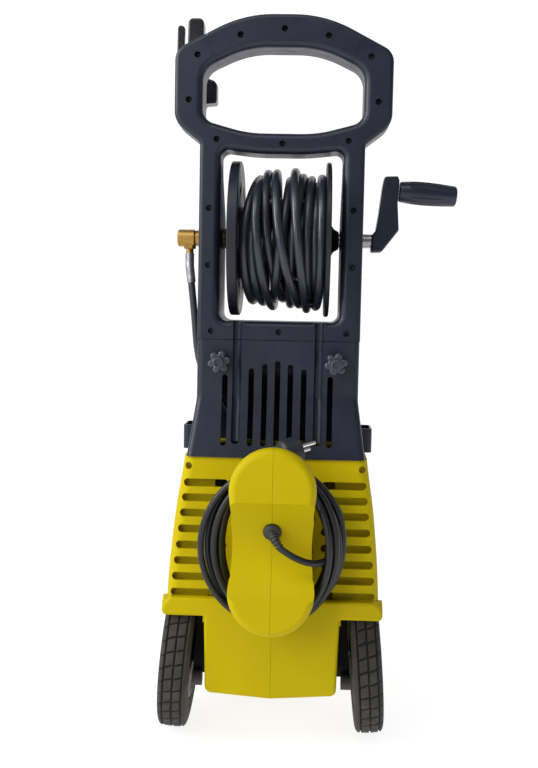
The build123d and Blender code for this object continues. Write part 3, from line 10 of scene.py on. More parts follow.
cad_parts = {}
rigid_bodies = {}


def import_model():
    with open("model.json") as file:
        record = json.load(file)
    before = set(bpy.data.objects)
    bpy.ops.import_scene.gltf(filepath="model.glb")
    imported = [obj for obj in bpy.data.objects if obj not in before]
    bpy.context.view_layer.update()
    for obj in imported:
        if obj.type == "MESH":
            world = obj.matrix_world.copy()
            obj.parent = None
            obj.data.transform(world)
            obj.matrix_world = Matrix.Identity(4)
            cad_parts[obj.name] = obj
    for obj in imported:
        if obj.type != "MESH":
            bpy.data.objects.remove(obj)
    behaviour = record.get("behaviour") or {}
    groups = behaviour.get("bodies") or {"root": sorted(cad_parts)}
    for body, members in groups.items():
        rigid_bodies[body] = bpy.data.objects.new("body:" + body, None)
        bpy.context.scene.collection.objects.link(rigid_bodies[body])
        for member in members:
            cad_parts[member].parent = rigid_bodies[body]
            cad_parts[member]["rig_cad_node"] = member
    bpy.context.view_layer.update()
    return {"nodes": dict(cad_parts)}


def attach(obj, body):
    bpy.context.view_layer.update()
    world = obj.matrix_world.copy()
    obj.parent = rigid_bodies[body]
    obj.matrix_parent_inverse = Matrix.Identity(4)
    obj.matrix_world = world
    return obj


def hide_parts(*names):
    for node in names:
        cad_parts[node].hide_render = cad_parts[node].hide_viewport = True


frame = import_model()
NODES = frame["nodes"]

# the machine's own working frame, in millimetres, against the row frame
SX, SY = -37.24, -69.5


def P(x, y, z):
    return Vector(((x + SX) / 1000.0, (y + SY) / 1000.0, z / 1000.0))


RY, RZ = 57.0, 627.0
CAMBER = math.radians(4.5)
WHEEL_X, WHEEL_Y = 117.5, 45.0
WHEEL_Z = 102.0 * math.cos(CAMBER) + (36.5 / 2 - 3.2) * math.sin(CAMBER) - 0.7055

scene = bpy.context.scene

# ---------------------------------------------------------------------------
# Camera
# ---------------------------------------------------------------------------
YAW, PITCH, ROLL = math.radians(2.001), math.radians(4.597), math.radians(-1.168)
Rz = Matrix.Rotation(YAW, 3, "Z")
Rx = Matrix.Rotation(-PITCH, 3, "X")
Ry = Matrix.Rotation(ROLL, 3, "Y")
R = Rz @ Rx @ Ry
cam_data = bpy.data.cameras.new("camera")
cam = bpy.data.objects.new("camera", cam_data)
scene.collection.objects.link(cam)
right, ahead, up = R @ Vector((1, 0, 0)), R @ Vector((0, 1, 0)), R @ Vector((0, 0, 1))
M = Matrix.Identity(4)
for i in range(3):
    M[i][0], M[i][1], M[i][2] = right[i], up[i], -ahead[i]
pos = Vector((0.03246 + SX / 1000, -1.22236 + SY / 1000, 0.54601))
M[0][3], M[1][3], M[2][3] = pos
cam.matrix_world = M
cam_data.sensor_width = 36.0
cam_data.sensor_fit = "AUTO"
cam_data.lens = 1000.0 * 36.0 / 768.0
cam_data.clip_start, cam_data.clip_end = 0.05, 30.0
scene.camera = cam


# ---------------------------------------------------------------------------
# Small helpers
# ---------------------------------------------------------------------------
def new_object(name, data):
    o = bpy.data.objects.new(name, data)
    scene.collection.objects.link(o)
    return o


def mesh_from(name, verts, faces, smooth=True):
    me = bpy.data.meshes.new(name)
    me.from_pydata([tuple(v) for v in verts], [], faces)
    me.validate()
    me.update()
    for p in me.polygons:
        p.use_smooth = smooth
    return new_object(name, me)


def nurbs(name, points, radius, resolution=6, bevel=5):
    """Round flexible line through the given control points (metres)."""
    cu = bpy.data.curves.new(name, "CURVE")
    cu.dimensions = "3D"
    cu.resolution_u = resolution
    cu.bevel_depth = 1.0
    cu.bevel_resolution = bevel
    cu.use_fill_caps = True
    sp = cu.splines.new("NURBS")
    sp.points.add(len(points) - 1)
    for q, p in zip(sp.points, points):
        q.co = (p[0], p[1], p[2], 1.0)
        q.radius = radius
    sp.order_u = 3
    sp.use_endpoint_u = True
    sp.use_smooth = True
    return new_object(name, cu)


def line_of(curve_obj):
    """Points along a curve object's own line."""
    cu = curve_obj.data.copy()
    cu.bevel_depth = 0.0
    cu.use_fill_caps = False
    o = new_object("line_tmp", cu)
    bpy.context.view_layer.update()
    dg = bpy.context.evaluated_depsgraph_get()
    me = bpy.data.meshes.new_from_object(o.evaluated_get(dg))
    pts = [v.co.copy() for v in me.vertices]
    bpy.data.objects.remove(o)
    bpy.data.meshes.remove(me)
    bpy.data.curves.remove(cu)
    return pts


# ---------------------------------------------------------------------------
# Cords: the mains lead with its coil, the hose on the reel
# ---------------------------------------------------------------------------
CORD_D, HOSE_D = 7.8, 11.0
TAIL = [(9.5, -101.5, 268.3), (18.5, -104.3, 262.8), (29.5, -104.8, 257.0), (41.0, -101.5, 252.2), (52.0, -94.8, 249.6),
        (62.0, -86.0, 250.6), (69.8, -76.3, 255.0), (75.6, -66.8, 262.0)]
END = [(27.5, -83.0, 350.5), (35.0, -85.3, 341.5), (46.0, -85.8, 328.0), (54.6, -83.5, 310.5), (61.8, -77.0, 291.5), (66.0, -67.6, 275.0)]

# the coil round the holder, from the tail to the plug's end: eight turns laid side by side without crossing through each other
COIL = [
    (80.5, -57.5, 272.5), (81.8, -53.2, 288), (77.3, -51.3, 303), (68.1, -50.8, 316.8), (55.4, -51.1, 328.8), (40, -51.5, 337.9),
    (22.9, -51.6, 343.6), (5, -51.5, 345.6), (-13, -51.5, 343.8), (-29.9, -51.9, 338.4), (-45, -52.3, 329.1), (-57.6, -52.7, 316.2),
    (-67.2, -53, 300.3), (-73.2, -53.1, 282.3), (-75.3, -53.1, 263.3), (-73.6, -52.9, 244.1), (-68, -52.6, 226), (-58.8, -52.2, 209.8),
    (-46.4, -51.8, 196.3), (-31.5, -51.5, 186.2), (-14.8, -51.5, 179.6), (2.7, -51.8, 176.8), (19.7, -52.1, 177.9), (35.3, -52.3, 183.2),
    (48.8, -52.5, 192.5), (59.7, -52.5, 205.6), (67.7, -52.5, 221.9), (72.5, -52.4, 240.5), (74.1, -52.3, 260.5), (72.3, -52.3, 280.7),
    (67.2, -52.2, 300.1), (59.1, -52.1, 317.8), (48.1, -51.9, 332.8), (34.9, -51.7, 344.4), (20, -51.6, 351.9), (4.2, -51.5, 354.9),
    (-11.8, -51.5, 353.1), (-26.9, -51.5, 346.5), (-40.4, -51.6, 335.6), (-51.7, -51.7, 321), (-60.3, -51.8, 303.5), (-65.7, -51.9, 283.9),
    (-67.7, -51.9, 263.2), (-66.1, -51.8, 242.4), (-61.1, -51.7, 222.6), (-52.9, -51.6, 204.8), (-42.1, -51.5, 189.9), (-29.3, -51.5, 178.8),
    (-15.1, -51.5, 172), (-0.4, -51.5, 169.8), (14.4, -51.6, 172.5), (28.5, -52.1, 179.8), (41.3, -52.7, 191.1), (52, -53.3, 205.6),
    (60, -53.7, 222.6), (65, -54, 241.4), (66.6, -54.3, 260.9), (65, -54.5, 280.3), (60.1, -54.8, 298.8), (52.5, -55.2, 315.4), (42.3, -55.7, 329.4),
    (30.3, -56.3, 340.2), (17, -56.9, 347.2), (3.2, -57.3, 350), (-10.5, -57.1, 348.2), (-23.7, -56.7, 341.8), (-35.7, -56, 331.4),
    (-45.9, -55.5, 317.7), (-53.7, -55.1, 301.3), (-58.7, -54.8, 283), (-60.6, -54.8, 263.8), (-59.4, -55, 244.4), (-55.3, -55.5, 225.9),
    (-48.4, -56.1, 209), (-39.1, -56.8, 194.6), (-27.8, -57.4, 183.3), (-14.8, -58.1, 176), (-0.3, -58.6, 172.6), (15.5, -59.1, 173.3),
    (31.6, -59.1, 178.1), (47.1, -59.1, 187.2), (61.1, -59.1, 200.5), (72.4, -59.3, 217.5), (80.2, -59.6, 237.2), (83.6, -59.9, 258.4),
    (82.6, -60.1, 280), (77.2, -60.2, 300.6), (67.7, -60.1, 319.2), (54.7, -59.9, 334.8), (39.1, -59.5, 346.8), (21.7, -59, 354.5),
    (3.4, -58.7, 357.5), (-14.7, -58.7, 355.1), (-31.8, -59, 347.7), (-47.1, -59.5, 336.2), (-60, -60, 321.2), (-69.7, -60.3, 303.4),
    (-75.8, -60.5, 283.7), (-78, -60.5, 262.9), (-76.1, -60.4, 242), (-70.1, -60.2, 221.9), (-60.2, -59.8, 203.6), (-47, -59.3, 187.9),
    (-31.1, -58.9, 175.9), (-13.4, -58.7, 168.6), (5, -58.9, 167.1), (22.8, -59.2, 171), (39, -59.5, 179.7), (52.8, -59.8, 192.2), (63.7, -60, 207.6),
    (71.4, -59.8, 225), (75.9, -59.6, 243.5), (77.1, -59.4, 262.5), (75, -59.8, 281.2), (69.7, -60.3, 298.9), (61.5, -60.9, 314.8),
    (50.6, -61.4, 328), (37.4, -61.9, 337.9), (22.4, -62.4, 343.9), (6.2, -62.9, 345.7), (-10.3, -63, 343.6), (-26.3, -62.6, 337.7),
    (-40.8, -62.1, 328.1), (-53.1, -61.7, 315.3), (-62.3, -61.3, 299.8), (-68.1, -61.2, 282.3), (-70.2, -61.2, 263.7), (-68.6, -61.4, 245.1),
    (-63.2, -61.9, 227.3), (-54.3, -62.4, 211.4), (-42.5, -63.1, 197.9), (-28.4, -63.6, 187.5), (-12.9, -63.8, 180.5), (3.2, -63.7, 177.2),
    (19.3, -63.8, 178.1), (34.8, -64.7, 183.3), (49, -66.5, 192.5), (61.2, -68.9, 205.6), (70.6, -71.3, 222), (76.7, -73.1, 240.6),
    (78.6, -73.9, 260.5), (76.4, -73.5, 280.6), (70, -72, 299.9), (60, -69.9, 317.2), (47.5, -67.7, 331.8), (33.4, -66, 342.9), (18.5, -64.9, 349.9),
    (3.4, -64.5, 352.7), (-11.2, -64.1, 351.1), (-25, -63.6, 345.2), (-37.3, -63.1, 334.9), (-47.7, -62.7, 320.7), (-55.6, -62.4, 303.3),
    (-60.7, -62.2, 283.8), (-62.6, -62.2, 263.1), (-61.5, -62.4, 242.4), (-57.1, -62.7, 222.7), (-49.8, -63.1, 205.2), (-39.8, -63.7, 190.7),
    (-27.4, -64.3, 179.8), (-13, -65, 172.8), (2.6, -65.7, 169.8), (18.5, -67, 171.2), (33.7, -69.3, 177.2), (47.4, -72.4, 187.7), (58.8, -76, 201.9),
    (67.4, -79.3, 219.1), (72.9, -81.7, 238.5), (75.1, -82.7, 259.1), (74, -82.2, 279.8), (69.5, -80.5, 299.7), (61.7, -78, 317.9),
    (50.4, -75.4, 333.3), (36.1, -73.3, 345.3), (19.2, -71.9, 353), (0.8, -70.9, 355.6), (-18, -70, 353), (-36, -69.3, 345.8), (-52.3, -68.9, 334.5),
    (-66, -68.5, 319.6), (-76.4, -68.4, 301.9), (-82.9, -68.3, 282.4), (-85.2, -68.2, 261.9), (-83.1, -68.2, 241.4), (-76.8, -68.2, 221.9),
    (-66.7, -68.3, 204.4), (-53.4, -68.4, 189.7), (-37.7, -68.8, 178.6), (-20.7, -69.5, 171.7), (-3.3, -70.8, 169.4), (13.6, -72.8, 171.9),
    (29.3, -75.4, 179), (42.7, -78.8, 190.2), (53.3, -82.9, 204.9), (60.8, -86.8, 222.2), (65.3, -89.6, 241.5), (66.6, -90.5, 261.7),
    (65, -89.3, 281.9), (60.3, -86.3, 300.9), (52.9, -82.1, 317.6), (42.8, -77.8, 330.7), (30.5, -74.2, 340.1), (16.4, -71.7, 345.9),
    (1.3, -70.2, 348), (-14, -69.5, 346.4), (-28.8, -69.2, 340.7), (-42.2, -69.2, 331), (-53.5, -69.3, 317.7), (-62.1, -69.3, 301.4),
    (-67.6, -69.4, 283.1), (-69.6, -69.4, 263.6), (-68.2, -69.5, 244), (-63.2, -69.6, 225.4), (-55, -69.8, 208.6), (-44.1, -70, 194.8),
    (-30.9, -70.2, 184.5), (-16.2, -70.3, 178.3), (-0.7, -70.2, 176.5), (14.7, -70, 178.9), (29.2, -69.7, 185.1), (42.3, -69.1, 194.8),
    (53.4, -68.4, 207.3), (61.8, -67.8, 222.2), (66.8, -67.8, 238.5), (68.3, -68.9, 255.7)]

lead_route = TAIL + COIL + list(reversed(END))
lead = nurbs("mains_lead", [P(*p) for p in lead_route], CORD_D / 2000.0, resolution=5, bevel=5)
lead_line = line_of(lead)

# hose on the reel: one close layer on the drum, then loose turns of uneven size laid over each other
HOSE = [
    (44.5, 105.9, 627), (43.5, 99.3, 651.4), (42.6, 81.4, 669.3), (41.6, 57, 675.9), (40.7, 32.5, 669.3), (39.7, 14.7, 651.4), (38.7, 8.1, 627),
    (37.8, 14.7, 602.6), (36.8, 32.6, 584.7), (35.8, 57, 578.1), (34.9, 81.4, 584.7), (33.9, 99.3, 602.5), (33, 105.9, 627), (32, 99.3, 651.4),
    (31, 81.4, 669.3), (30.1, 57, 675.9), (29.1, 32.6, 669.3), (28.2, 14.7, 651.5), (27.2, 8.1, 627), (26.2, 14.7, 602.5), (25.3, 32.6, 584.7),
    (24.3, 57, 578.1), (23.3, 81.4, 584.7), (22.4, 99.3, 602.5), (21.4, 105.9, 627), (20.5, 99.3, 651.5), (19.5, 81.4, 669.3), (18.5, 57, 675.9),
    (17.6, 32.6, 669.3), (16.6, 14.7, 651.5), (15.7, 8.1, 627), (14.7, 14.7, 602.6), (13.7, 32.5, 584.7), (12.8, 57, 578.1), (11.8, 81.4, 584.7),
    (10.8, 99.3, 602.5), (9.9, 105.9, 627), (8.9, 99.3, 651.5), (8, 81.4, 669.3), (7, 57, 675.9), (6, 32.6, 669.3), (5.1, 14.7, 651.4),
    (4.1, 8.1, 627), (3.2, 14.7, 602.6), (2.2, 32.5, 584.7), (1.2, 57, 578.1), (0.3, 81.5, 584.7), (-0.7, 99.3, 602.6), (-1.6, 105.9, 627),
    (-2.6, 99.3, 651.5), (-3.6, 81.4, 669.3), (-4.5, 57, 675.9), (-5.5, 32.6, 669.3), (-6.5, 14.7, 651.5), (-7.4, 8.1, 627), (-8.4, 14.7, 602.5),
    (-9.4, 32.6, 584.7), (-10.3, 57, 578.1), (-11.2, 81.4, 584.7), (-11.8, 99.3, 602.5), (-12.5, 105.9, 627), (-13.7, 99.4, 651.4),
    (-15, 81.5, 669.3), (-16.1, 57, 675.9), (-17.1, 32.5, 669.3), (-18, 14.7, 651.4), (-19, 8.1, 627), (-19.9, 14.7, 602.6), (-21, 32.5, 584.7),
    (-21.9, 57, 578.1), (-22.6, 81.5, 584.7), (-22.9, 99.4, 602.6), (-23.4, 105.9, 627.1), (-24.8, 99.3, 651.5), (-26.4, 81.4, 669.4),
    (-27.7, 57, 675.9), (-28.7, 32.6, 669.3), (-29.6, 14.7, 651.5), (-30.5, 8.1, 627), (-31.5, 14.7, 602.5), (-32.5, 32.6, 584.6), (-33.5, 57, 578.1),
    (-34, 81.2, 584.5), (-33.9, 99, 601.9), (-34.1, 105.9, 626), (-35.6, 99.4, 651.3), (-37.6, 81.4, 669.4), (-39.2, 56.9, 675.9),
    (-40.2, 32.5, 669.3), (-41.1, 14.7, 651.5), (-42.1, 8.1, 627.1), (-43, 14.6, 602.7), (-44, 32.4, 584.6), (-44.9, 57.3, 577.6),
    (-45.3, 83.8, 585.8), (-44.6, 104.1, 612.4), (-38.5, 109.6, 652.2), (-29.7, 93.4, 687.4), (-26.1, 60.4, 704), (-30.2, 22.6, 696.2),
    (-38.7, -6.8, 667.6), (-44.6, -18.7, 627.7), (-43.6, -9.8, 587), (-38.3, 17.7, 556.9), (-34, 55.7, 546.8), (-33.5, 92.1, 559.6),
    (-35, 116.9, 589.5), (-34.1, 126.6, 626.7), (-28, 120, 662.5), (-19.2, 95.6, 689.3), (-15.6, 58.6, 700.5), (-20.6, 20.8, 690.3),
    (-29.3, -7.5, 662.2), (-34.6, -19.3, 623.7), (-32.7, -10.8, 584.4), (-26.1, 17.1, 555), (-20.6, 56.2, 545.1), (-19.9, 93.5, 558),
    (-22.4, 117.3, 588), (-24, 122.5, 625), (-23.3, 110.5, 660.6), (-22.3, 85.4, 687.9), (-23.1, 50.7, 700.4), (-26.8, 12.6, 693.8),
    (-30.2, -16.8, 667.7), (-29.1, -27.9, 627.2), (-22.8, -16.6, 583.7), (-14.2, 14.1, 550.8), (-8.5, 55, 539.6), (-8.2, 93.6, 553.4),
    (-11.5, 119.6, 586.3), (-15.1, 128.2, 627.5), (-16.8, 118.6, 668.2), (-17, 92.5, 699.3), (-17.5, 55.1, 711.1), (-18.5, 17.1, 700.2),
    (-19.3, -9.3, 669.1), (-17.1, -16.7, 628.2), (-10.3, -3.9, 588.8), (-1.5, 23.6, 560.2), (4.2, 57.3, 550), (4.4, 89.9, 561), (0.4, 115, 589.5),
    (-4, 126.4, 627.4), (-6.1, 119.8, 666.4), (-6.5, 94.7, 697.8), (-6.7, 56.1, 711.6), (-7.3, 14.7, 701.7), (-6.3, -17, 670), (-1, -30.2, 625.7),
    (9.2, -20.2, 581.3), (20, 11.2, 550.8), (25.2, 53.1, 543), (22.5, 90.6, 558.5), (14.4, 114.9, 590.1), (7.2, 123.4, 627.7), (5.7, 115.8, 664),
    (8.1, 91.9, 691.5), (10.2, 56.6, 702.7), (9.6, 19.7, 693.2), (6.5, -8.1, 665.3), (1.9, -19.8, 626.5), (-3.2, -12.8, 587.5), (-6.8, 14.3, 559.4),
    (-6.7, 56.3, 550.3), (-2.9, 97.9, 561.8), (3.9, 125.3, 589.6), (11.8, 133, 626.4), (18.3, 120.9, 664.1), (23.7, 93.1, 693.8), (26.5, 55.4, 706.8),
    (25.2, 16.8, 697.4), (20.7, -11.6, 668), (15.6, -22.3, 627.3), (12.4, -11.1, 586.2), (11.7, 18.3, 554.8), (12.9, 58.3, 542.6), (14.9, 97.8, 554),
    (18.1, 123.7, 585), (23, 130.2, 625.7), (29, 119.1, 664.9), (34.5, 92.8, 693.4), (37, 56.2, 704.3), (35.8, 18.5, 694.2), (33.2, -9.8, 665.8),
    (31.6, -20.6, 626.6), (32.3, -10.7, 587), (34.4, 17.7, 557.8), (35.8, 56.4, 547.6), (35.5, 93.7, 559.9), (34.9, 119.2, 589.1),
    (35.8, 127.2, 625.9), (38.8, 116.7, 660.7), (42.4, 91.1, 686.2), (44.4, 56.5, 696.3), (44, 21.4, 687.7), (42.4, -5.2, 662.3), (41.5, -16, 626.5),
    (42.3, -7.1, 589.4), (44.4, 19.7, 561.5), (46.1, 57.1, 550.9), (46.6, 94.3, 560.9), (46.5, 120.8, 588.8), (46.8, 130.2, 626.8),
    (47.8, 120.8, 665.2), (48.9, 94.2, 694.3), (49.3, 56.4, 706), (49.3, 17.3, 696.3), (49.3, -12, 667.3), (49.3, -23.5, 626.5), (49.1, -13.9, 584.3),
    (47.8, 15.3, 552.2), (45.1, 56.7, 540.1), (41.3, 98.5, 552), (36.1, 128.7, 584), (30.2, 139.7, 627), (24.4, 129.4, 669.9), (19.5, 99.4, 701.7),
    (16.4, 56.6, 713.8), (15.4, 12.3, 702.9), (16.7, -21, 671.5), (20.6, -32.8, 627.4), (26, -20.3, 582.5), (31.3, 12.5, 548.8), (34.3, 57.5, 535.6),
    (32.7, 103.4, 547.6)]

hose = nurbs("reel_hose", [P(*p) for p in HOSE], HOSE_D / 2000.0, resolution=4, bevel=5)
hose_line = line_of(hose)

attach(lead, "machine")
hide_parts("power_cord_tail", "power_cord_coil", "power_cord_end")
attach(hose, "reel")
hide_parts("pressure_hose_coil")


# ---------------------------------------------------------------------------
# Materials
# ---------------------------------------------------------------------------
def srgb(r, g, b):
    def f(c):
        c /= 255.0
        return c / 12.92 if c <= 0.04045 else ((c + 0.055) / 1.055) ** 2.4
    return (f(r), f(g), f(b), 1.0)


class Mat:
    """Builds one procedural material on the Principled shader."""

    def __init__(self, name, metallic=0.0, spec=0.5, coat=0.0):
        self.m = bpy.data.materials.new(name)
        self.m.use_nodes = True
        self.t = self.m.node_tree
        self.b = self.t.nodes["Principled BSDF"]
        self.b.inputs["Metallic"].default_value = metallic
        self.b.inputs["Specular IOR Level"].default_value = spec
        if coat:
            self.b.inputs["Coat Weight"].default_value = coat
            self.b.inputs["Coat Roughness"].default_value = 0.25
        self.coord = self.t.nodes.new("ShaderNodeTexCoord")
        self.normal = None

    def noise(self, scale, detail=3.0, rough=0.55, vec=None, dist=0.0):
        n = self.t.nodes.new("ShaderNodeTexNoise")
        n.inputs["Scale"].default_value = scale
        n.inputs["Detail"].default_value = detail
        n.inputs["Roughness"].default_value = rough
        n.inputs["Distortion"].default_value = dist
        self.t.links.new(vec or self.coord.outputs["Object"], n.inputs["Vector"])
        return n.outputs["Fac"]

    def ramp(self, fac, stops):
        r = self.t.nodes.new("ShaderNodeValToRGB")
        while len(r.color_ramp.elements) > len(stops):
            r.color_ramp.elements.remove(r.color_ramp.elements[-1])
        while len(r.color_ramp.elements) < len(stops):
            r.color_ramp.elements.new(0.5)
        for e, (p, c) in zip(r.color_ramp.elements, stops):
            e.position = p
            e.color = c if len(c) == 4 else (*c, 1.0)
        self.t.links.new(fac, r.inputs["Fac"])
        return r.outputs["Color"]

    def map_range(self, fac, lo, hi):
        r = self.t.nodes.new("ShaderNodeMapRange")
        r.inputs["From Min"].default_value = 0.25
        r.inputs["From Max"].default_value = 0.75
        r.inputs["To Min"].default_value = lo
        r.inputs["To Max"].default_value = hi
        self.t.links.new(fac, r.inputs["Value"])
        return r.outputs["Result"]

    def color(self, out):
        self.t.links.new(out, self.b.inputs["Base Color"])
        return self

    def rough(self, out):
        self.t.links.new(out, self.b.inputs["Roughness"])
        return self

    def bump(self, height, strength=0.2, distance=0.0003):
        n = self.t.nodes.new("ShaderNodeBump")
        n.inputs["Strength"].default_value = strength
        n.inputs["Distance"].default_value = distance
        self.t.links.new(height, n.inputs["Height"])
        if self.normal is not None:
            self.t.links.new(self.normal, n.inputs["Normal"])
        self.normal = n.outputs["Normal"]
        self.t.links.new(self.normal, self.b.inputs["Normal"])
        return self


def plastic(name, c0, c1, r0, r1, grain=1400.0, grain_strength=0.25, spec=0.5, patch=14.0, coat=0.0):
    m = Mat(name, spec=spec, coat=coat)
    big = m.noise(patch, 4.0, 0.6)
    m.color(m.ramp(big, [(0.3, c0), (0.7, c1)]))
    m.rough(m.map_range(m.noise(patch * 2.7, 5.0, 0.6), r0, r1))
    m.bump(m.noise(grain, 2.0, 0.5), grain_strength, 0.0002)
    return m


MATS = {}
MATS["frame"] = plastic("black_grained_plastic", srgb(17, 20, 38), srgb(24, 27, 46), 0.32, 0.46, spec=0.45)
MATS["housing"] = plastic("black_housing_plastic", srgb(18, 21, 39), srgb(25, 28, 47), 0.32, 0.48, spec=0.45)
MATS["yellow"] = plastic("yellow_plastic", srgb(184, 164, 0), srgb(191, 171, 0), 0.42, 0.55, grain=1800.0, grain_strength=0.12, patch=9.0, spec=0.10)
MATS["reel"] = plastic("black_reel_plastic", srgb(18, 20, 32), srgb(25, 27, 40), 0.36, 0.50, spec=0.42)
MATS["crank"] = plastic("black_crank_plastic", srgb(20, 23, 42), srgb(27, 30, 50), 0.26, 0.38, grain=2000, grain_strength=0.1)
# painted sheen: the knobs' grey base, lighter than the other black plastics, stands in for the highlights on black
# plastic
MATS["knob"] = plastic("knob_plastic_painted_sheen", srgb(52, 54, 66), srgb(64, 66, 79), 0.22, 0.34)
MATS["chassis"] = plastic("chassis_plastic", srgb(26, 27, 34), srgb(35, 36, 44), 0.5, 0.65, spec=0.35)
MATS["gun"] = plastic("black_gun_plastic", srgb(13, 14, 19), srgb(20, 21, 27), 0.20, 0.32, spec=0.6)
MATS["cord"] = plastic("black_lead_rubber", srgb(12, 13, 16), srgb(22, 23, 28), 0.34, 0.48, grain=2600, grain_strength=0.1, patch=30)
MATS["hose"] = plastic("black_hose_rubber", srgb(28, 30, 40), srgb(45, 47, 60), 0.24, 0.38, grain=1500, grain_strength=0.15, patch=22, spec=0.6)
MATS["plug"] = plastic("black_plug_plastic", srgb(30, 32, 37), srgb(41, 43, 48), 0.38, 0.5)
MATS["gland"] = plastic("black_gland_rubber", srgb(34, 34, 34), srgb(45, 45, 44), 0.48, 0.6)
MATS["boss"] = plastic("grey_boss_plastic", srgb(64, 62, 59), srgb(78, 76, 72), 0.5, 0.65)
# near-black, darker than the frame plastic; on the grip tongues it is painted shade for the handle seams
MATS["arch"] = plastic("black_arch_plastic_and_seam_shade", srgb(10, 10, 11), srgb(16, 16, 18), 0.6, 0.75, spec=0.2)
MATS["foot"] = plastic("foot_rubber", srgb(30, 30, 30), srgb(38, 38, 38), 0.7, 0.85)


def metal(name, c0, c1, r0, r1, scale=60.0, brushed=None):
    m = Mat(name, metallic=1.0)
    m.color(m.ramp(m.noise(scale, 4.0, 0.6), [(0.35, c0), (0.65, c1)]))
    m.rough(m.map_range(m.noise(scale * 3, 4.0, 0.6), r0, r1))
    m.bump(m.noise(scale * 30, 2.0, 0.5), 0.08, 0.0001)
    return m


MATS["brass"] = metal("brass", srgb(158, 122, 62), srgb(184, 148, 84), 0.36, 0.50)
MATS["bronze"] = metal("dark_bearing_bronze", srgb(58, 48, 36), srgb(78, 66, 50), 0.45, 0.6)
MATS["steel"] = metal("plated_steel", srgb(150, 150, 152), srgb(196, 196, 198), 0.22, 0.4)
MATS["screw"] = metal("dark_screw_steel", srgb(52, 52, 55), srgb(84, 84, 88), 0.35, 0.5)
# painted shade: the body screws take a dull yellow-brown that stands in for the shaded yellow dimples round them
MATS["dimple_shade"] = metal("screw_painted_dimple_shade", srgb(104, 86, 20), srgb(138, 116, 34), 0.35, 0.5)
MATS["motor"] = metal("motor_steel", srgb(120, 120, 122), srgb(150, 150, 152), 0.3, 0.5)
MATS["alu"] = metal("cast_aluminium", srgb(160, 162, 165), srgb(190, 192, 195), 0.4, 0.6)
MATS["pin"] = metal("nickel_pins", srgb(205, 205, 205), srgb(232, 232, 232), 0.12, 0.25)
MATS["tube"] = plastic("coated_tube", srgb(28, 29, 31), srgb(38, 39, 42), 0.3, 0.42)

tyre = Mat("tyre_rubber")
dust = tyre.noise(38.0, 6.0, 0.65)
worn = tyre.ramp(dust, [(0.30, srgb(43, 41, 39)), (0.55, srgb(56, 53, 50)), (0.75, srgb(75, 71, 66))])
# painted shade: the per-vertex groove value mixes the tread colour toward near-black in the grooves, standing in for
# the shade in them
depth = tyre.t.nodes.new("ShaderNodeVertexColor")
depth.layer_name = "groove_painted_shade"
groove_shade_mix = tyre.t.nodes.new("ShaderNodeMix")
groove_shade_mix.data_type = "RGBA"
groove_shade_mix.inputs["B"].default_value = (0.005, 0.005, 0.0045, 1.0)
tyre.t.links.new(depth.outputs["Color"], groove_shade_mix.inputs["Factor"])
tyre.t.links.new(worn, groove_shade_mix.inputs["A"])
tyre.color(groove_shade_mix.outputs["Result"])
tyre.rough(tyre.map_range(tyre.noise(90.0, 4.0), 0.72, 0.9))
tyre.bump(tyre.noise(900.0, 3.0), 0.3, 0.0003)
MATS["tyre"] = tyre
MATS["hub"] = plastic("wheel_centre_plastic", srgb(34, 35, 38), srgb(46, 47, 50), 0.45, 0.6)

USE = {
    "frame": ["handle_frame_rear", "handle_frame_front", "handle_grip_rear", "handle_grip_front", "gun_hook"],
    "housing": ["housing_rear", "housing_front", "lance_holster_left", "lance_holster_right"],
    "yellow": ["body_shell_left", "body_shell_right", "front_cover"],
    "screw": ["handle_screws"],
    "dimple_shade": ["body_screws"],
    "chassis": ["base_tray", "switch_box"],
    "foot": ["front_feet"],
    "steel": ["wheel_axles", "crank_grip_pin", "gun_trigger_pin", "reel_shaft", "link_hose_ferrule"],
    "brass": ["swivel_elbow", "link_hose_nipple", "reel_hollow_shaft", "inlet_coupling", "outlet_fitting", "pressure_hose_connector"],
    "bronze": ["reel_bushes"],
    "hose": ["link_hose"],
    "motor": ["motor_can", "motor_rotor"],
    "alu": ["pump_housing", "pump_head"],
    "plug": ["plug_body"],
    "pin": ["plug_pins"],
    "reel": ["reel_drum", "reel_flange_left", "reel_flange_right"],
    "crank": ["crank_arm", "crank_grip"],
    "hub": ["wheel_hub_left", "wheel_hub_right", "hub_cap_left", "hub_cap_right"],
    "knob": ["star_knob_left", "star_knob_right", "switch_knob"],
    "gun": ["gun_shell_front", "gun_shell_rear", "gun_trigger", "gun_safety_catch"],
    "tube": ["gun_barrel"],
}


def paint(o, key):
    m = MATS[key].m
    if not o.material_slots:
        o.data.materials.append(m)
    for s in o.material_slots:
        s.link = "OBJECT" if o.type == "MESH" and "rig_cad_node" in o else "DATA"
        s.material = m


# ---------------------------------------------------------------------------
# Tyres: two rows of blocks with shoulder blocks either side, parted by grooves painted near-black as shade
# ---------------------------------------------------------------------------
ROWS, PER_ROW = 38, 16
HALF_W, R_OUT, R_SEAT = 18.25, 102.0, 66.0


def smooth(a, b, v):
    v = max(0.0, min(1.0, (v - a) / (b - a)))
    return v * v * (3 - 2 * v)


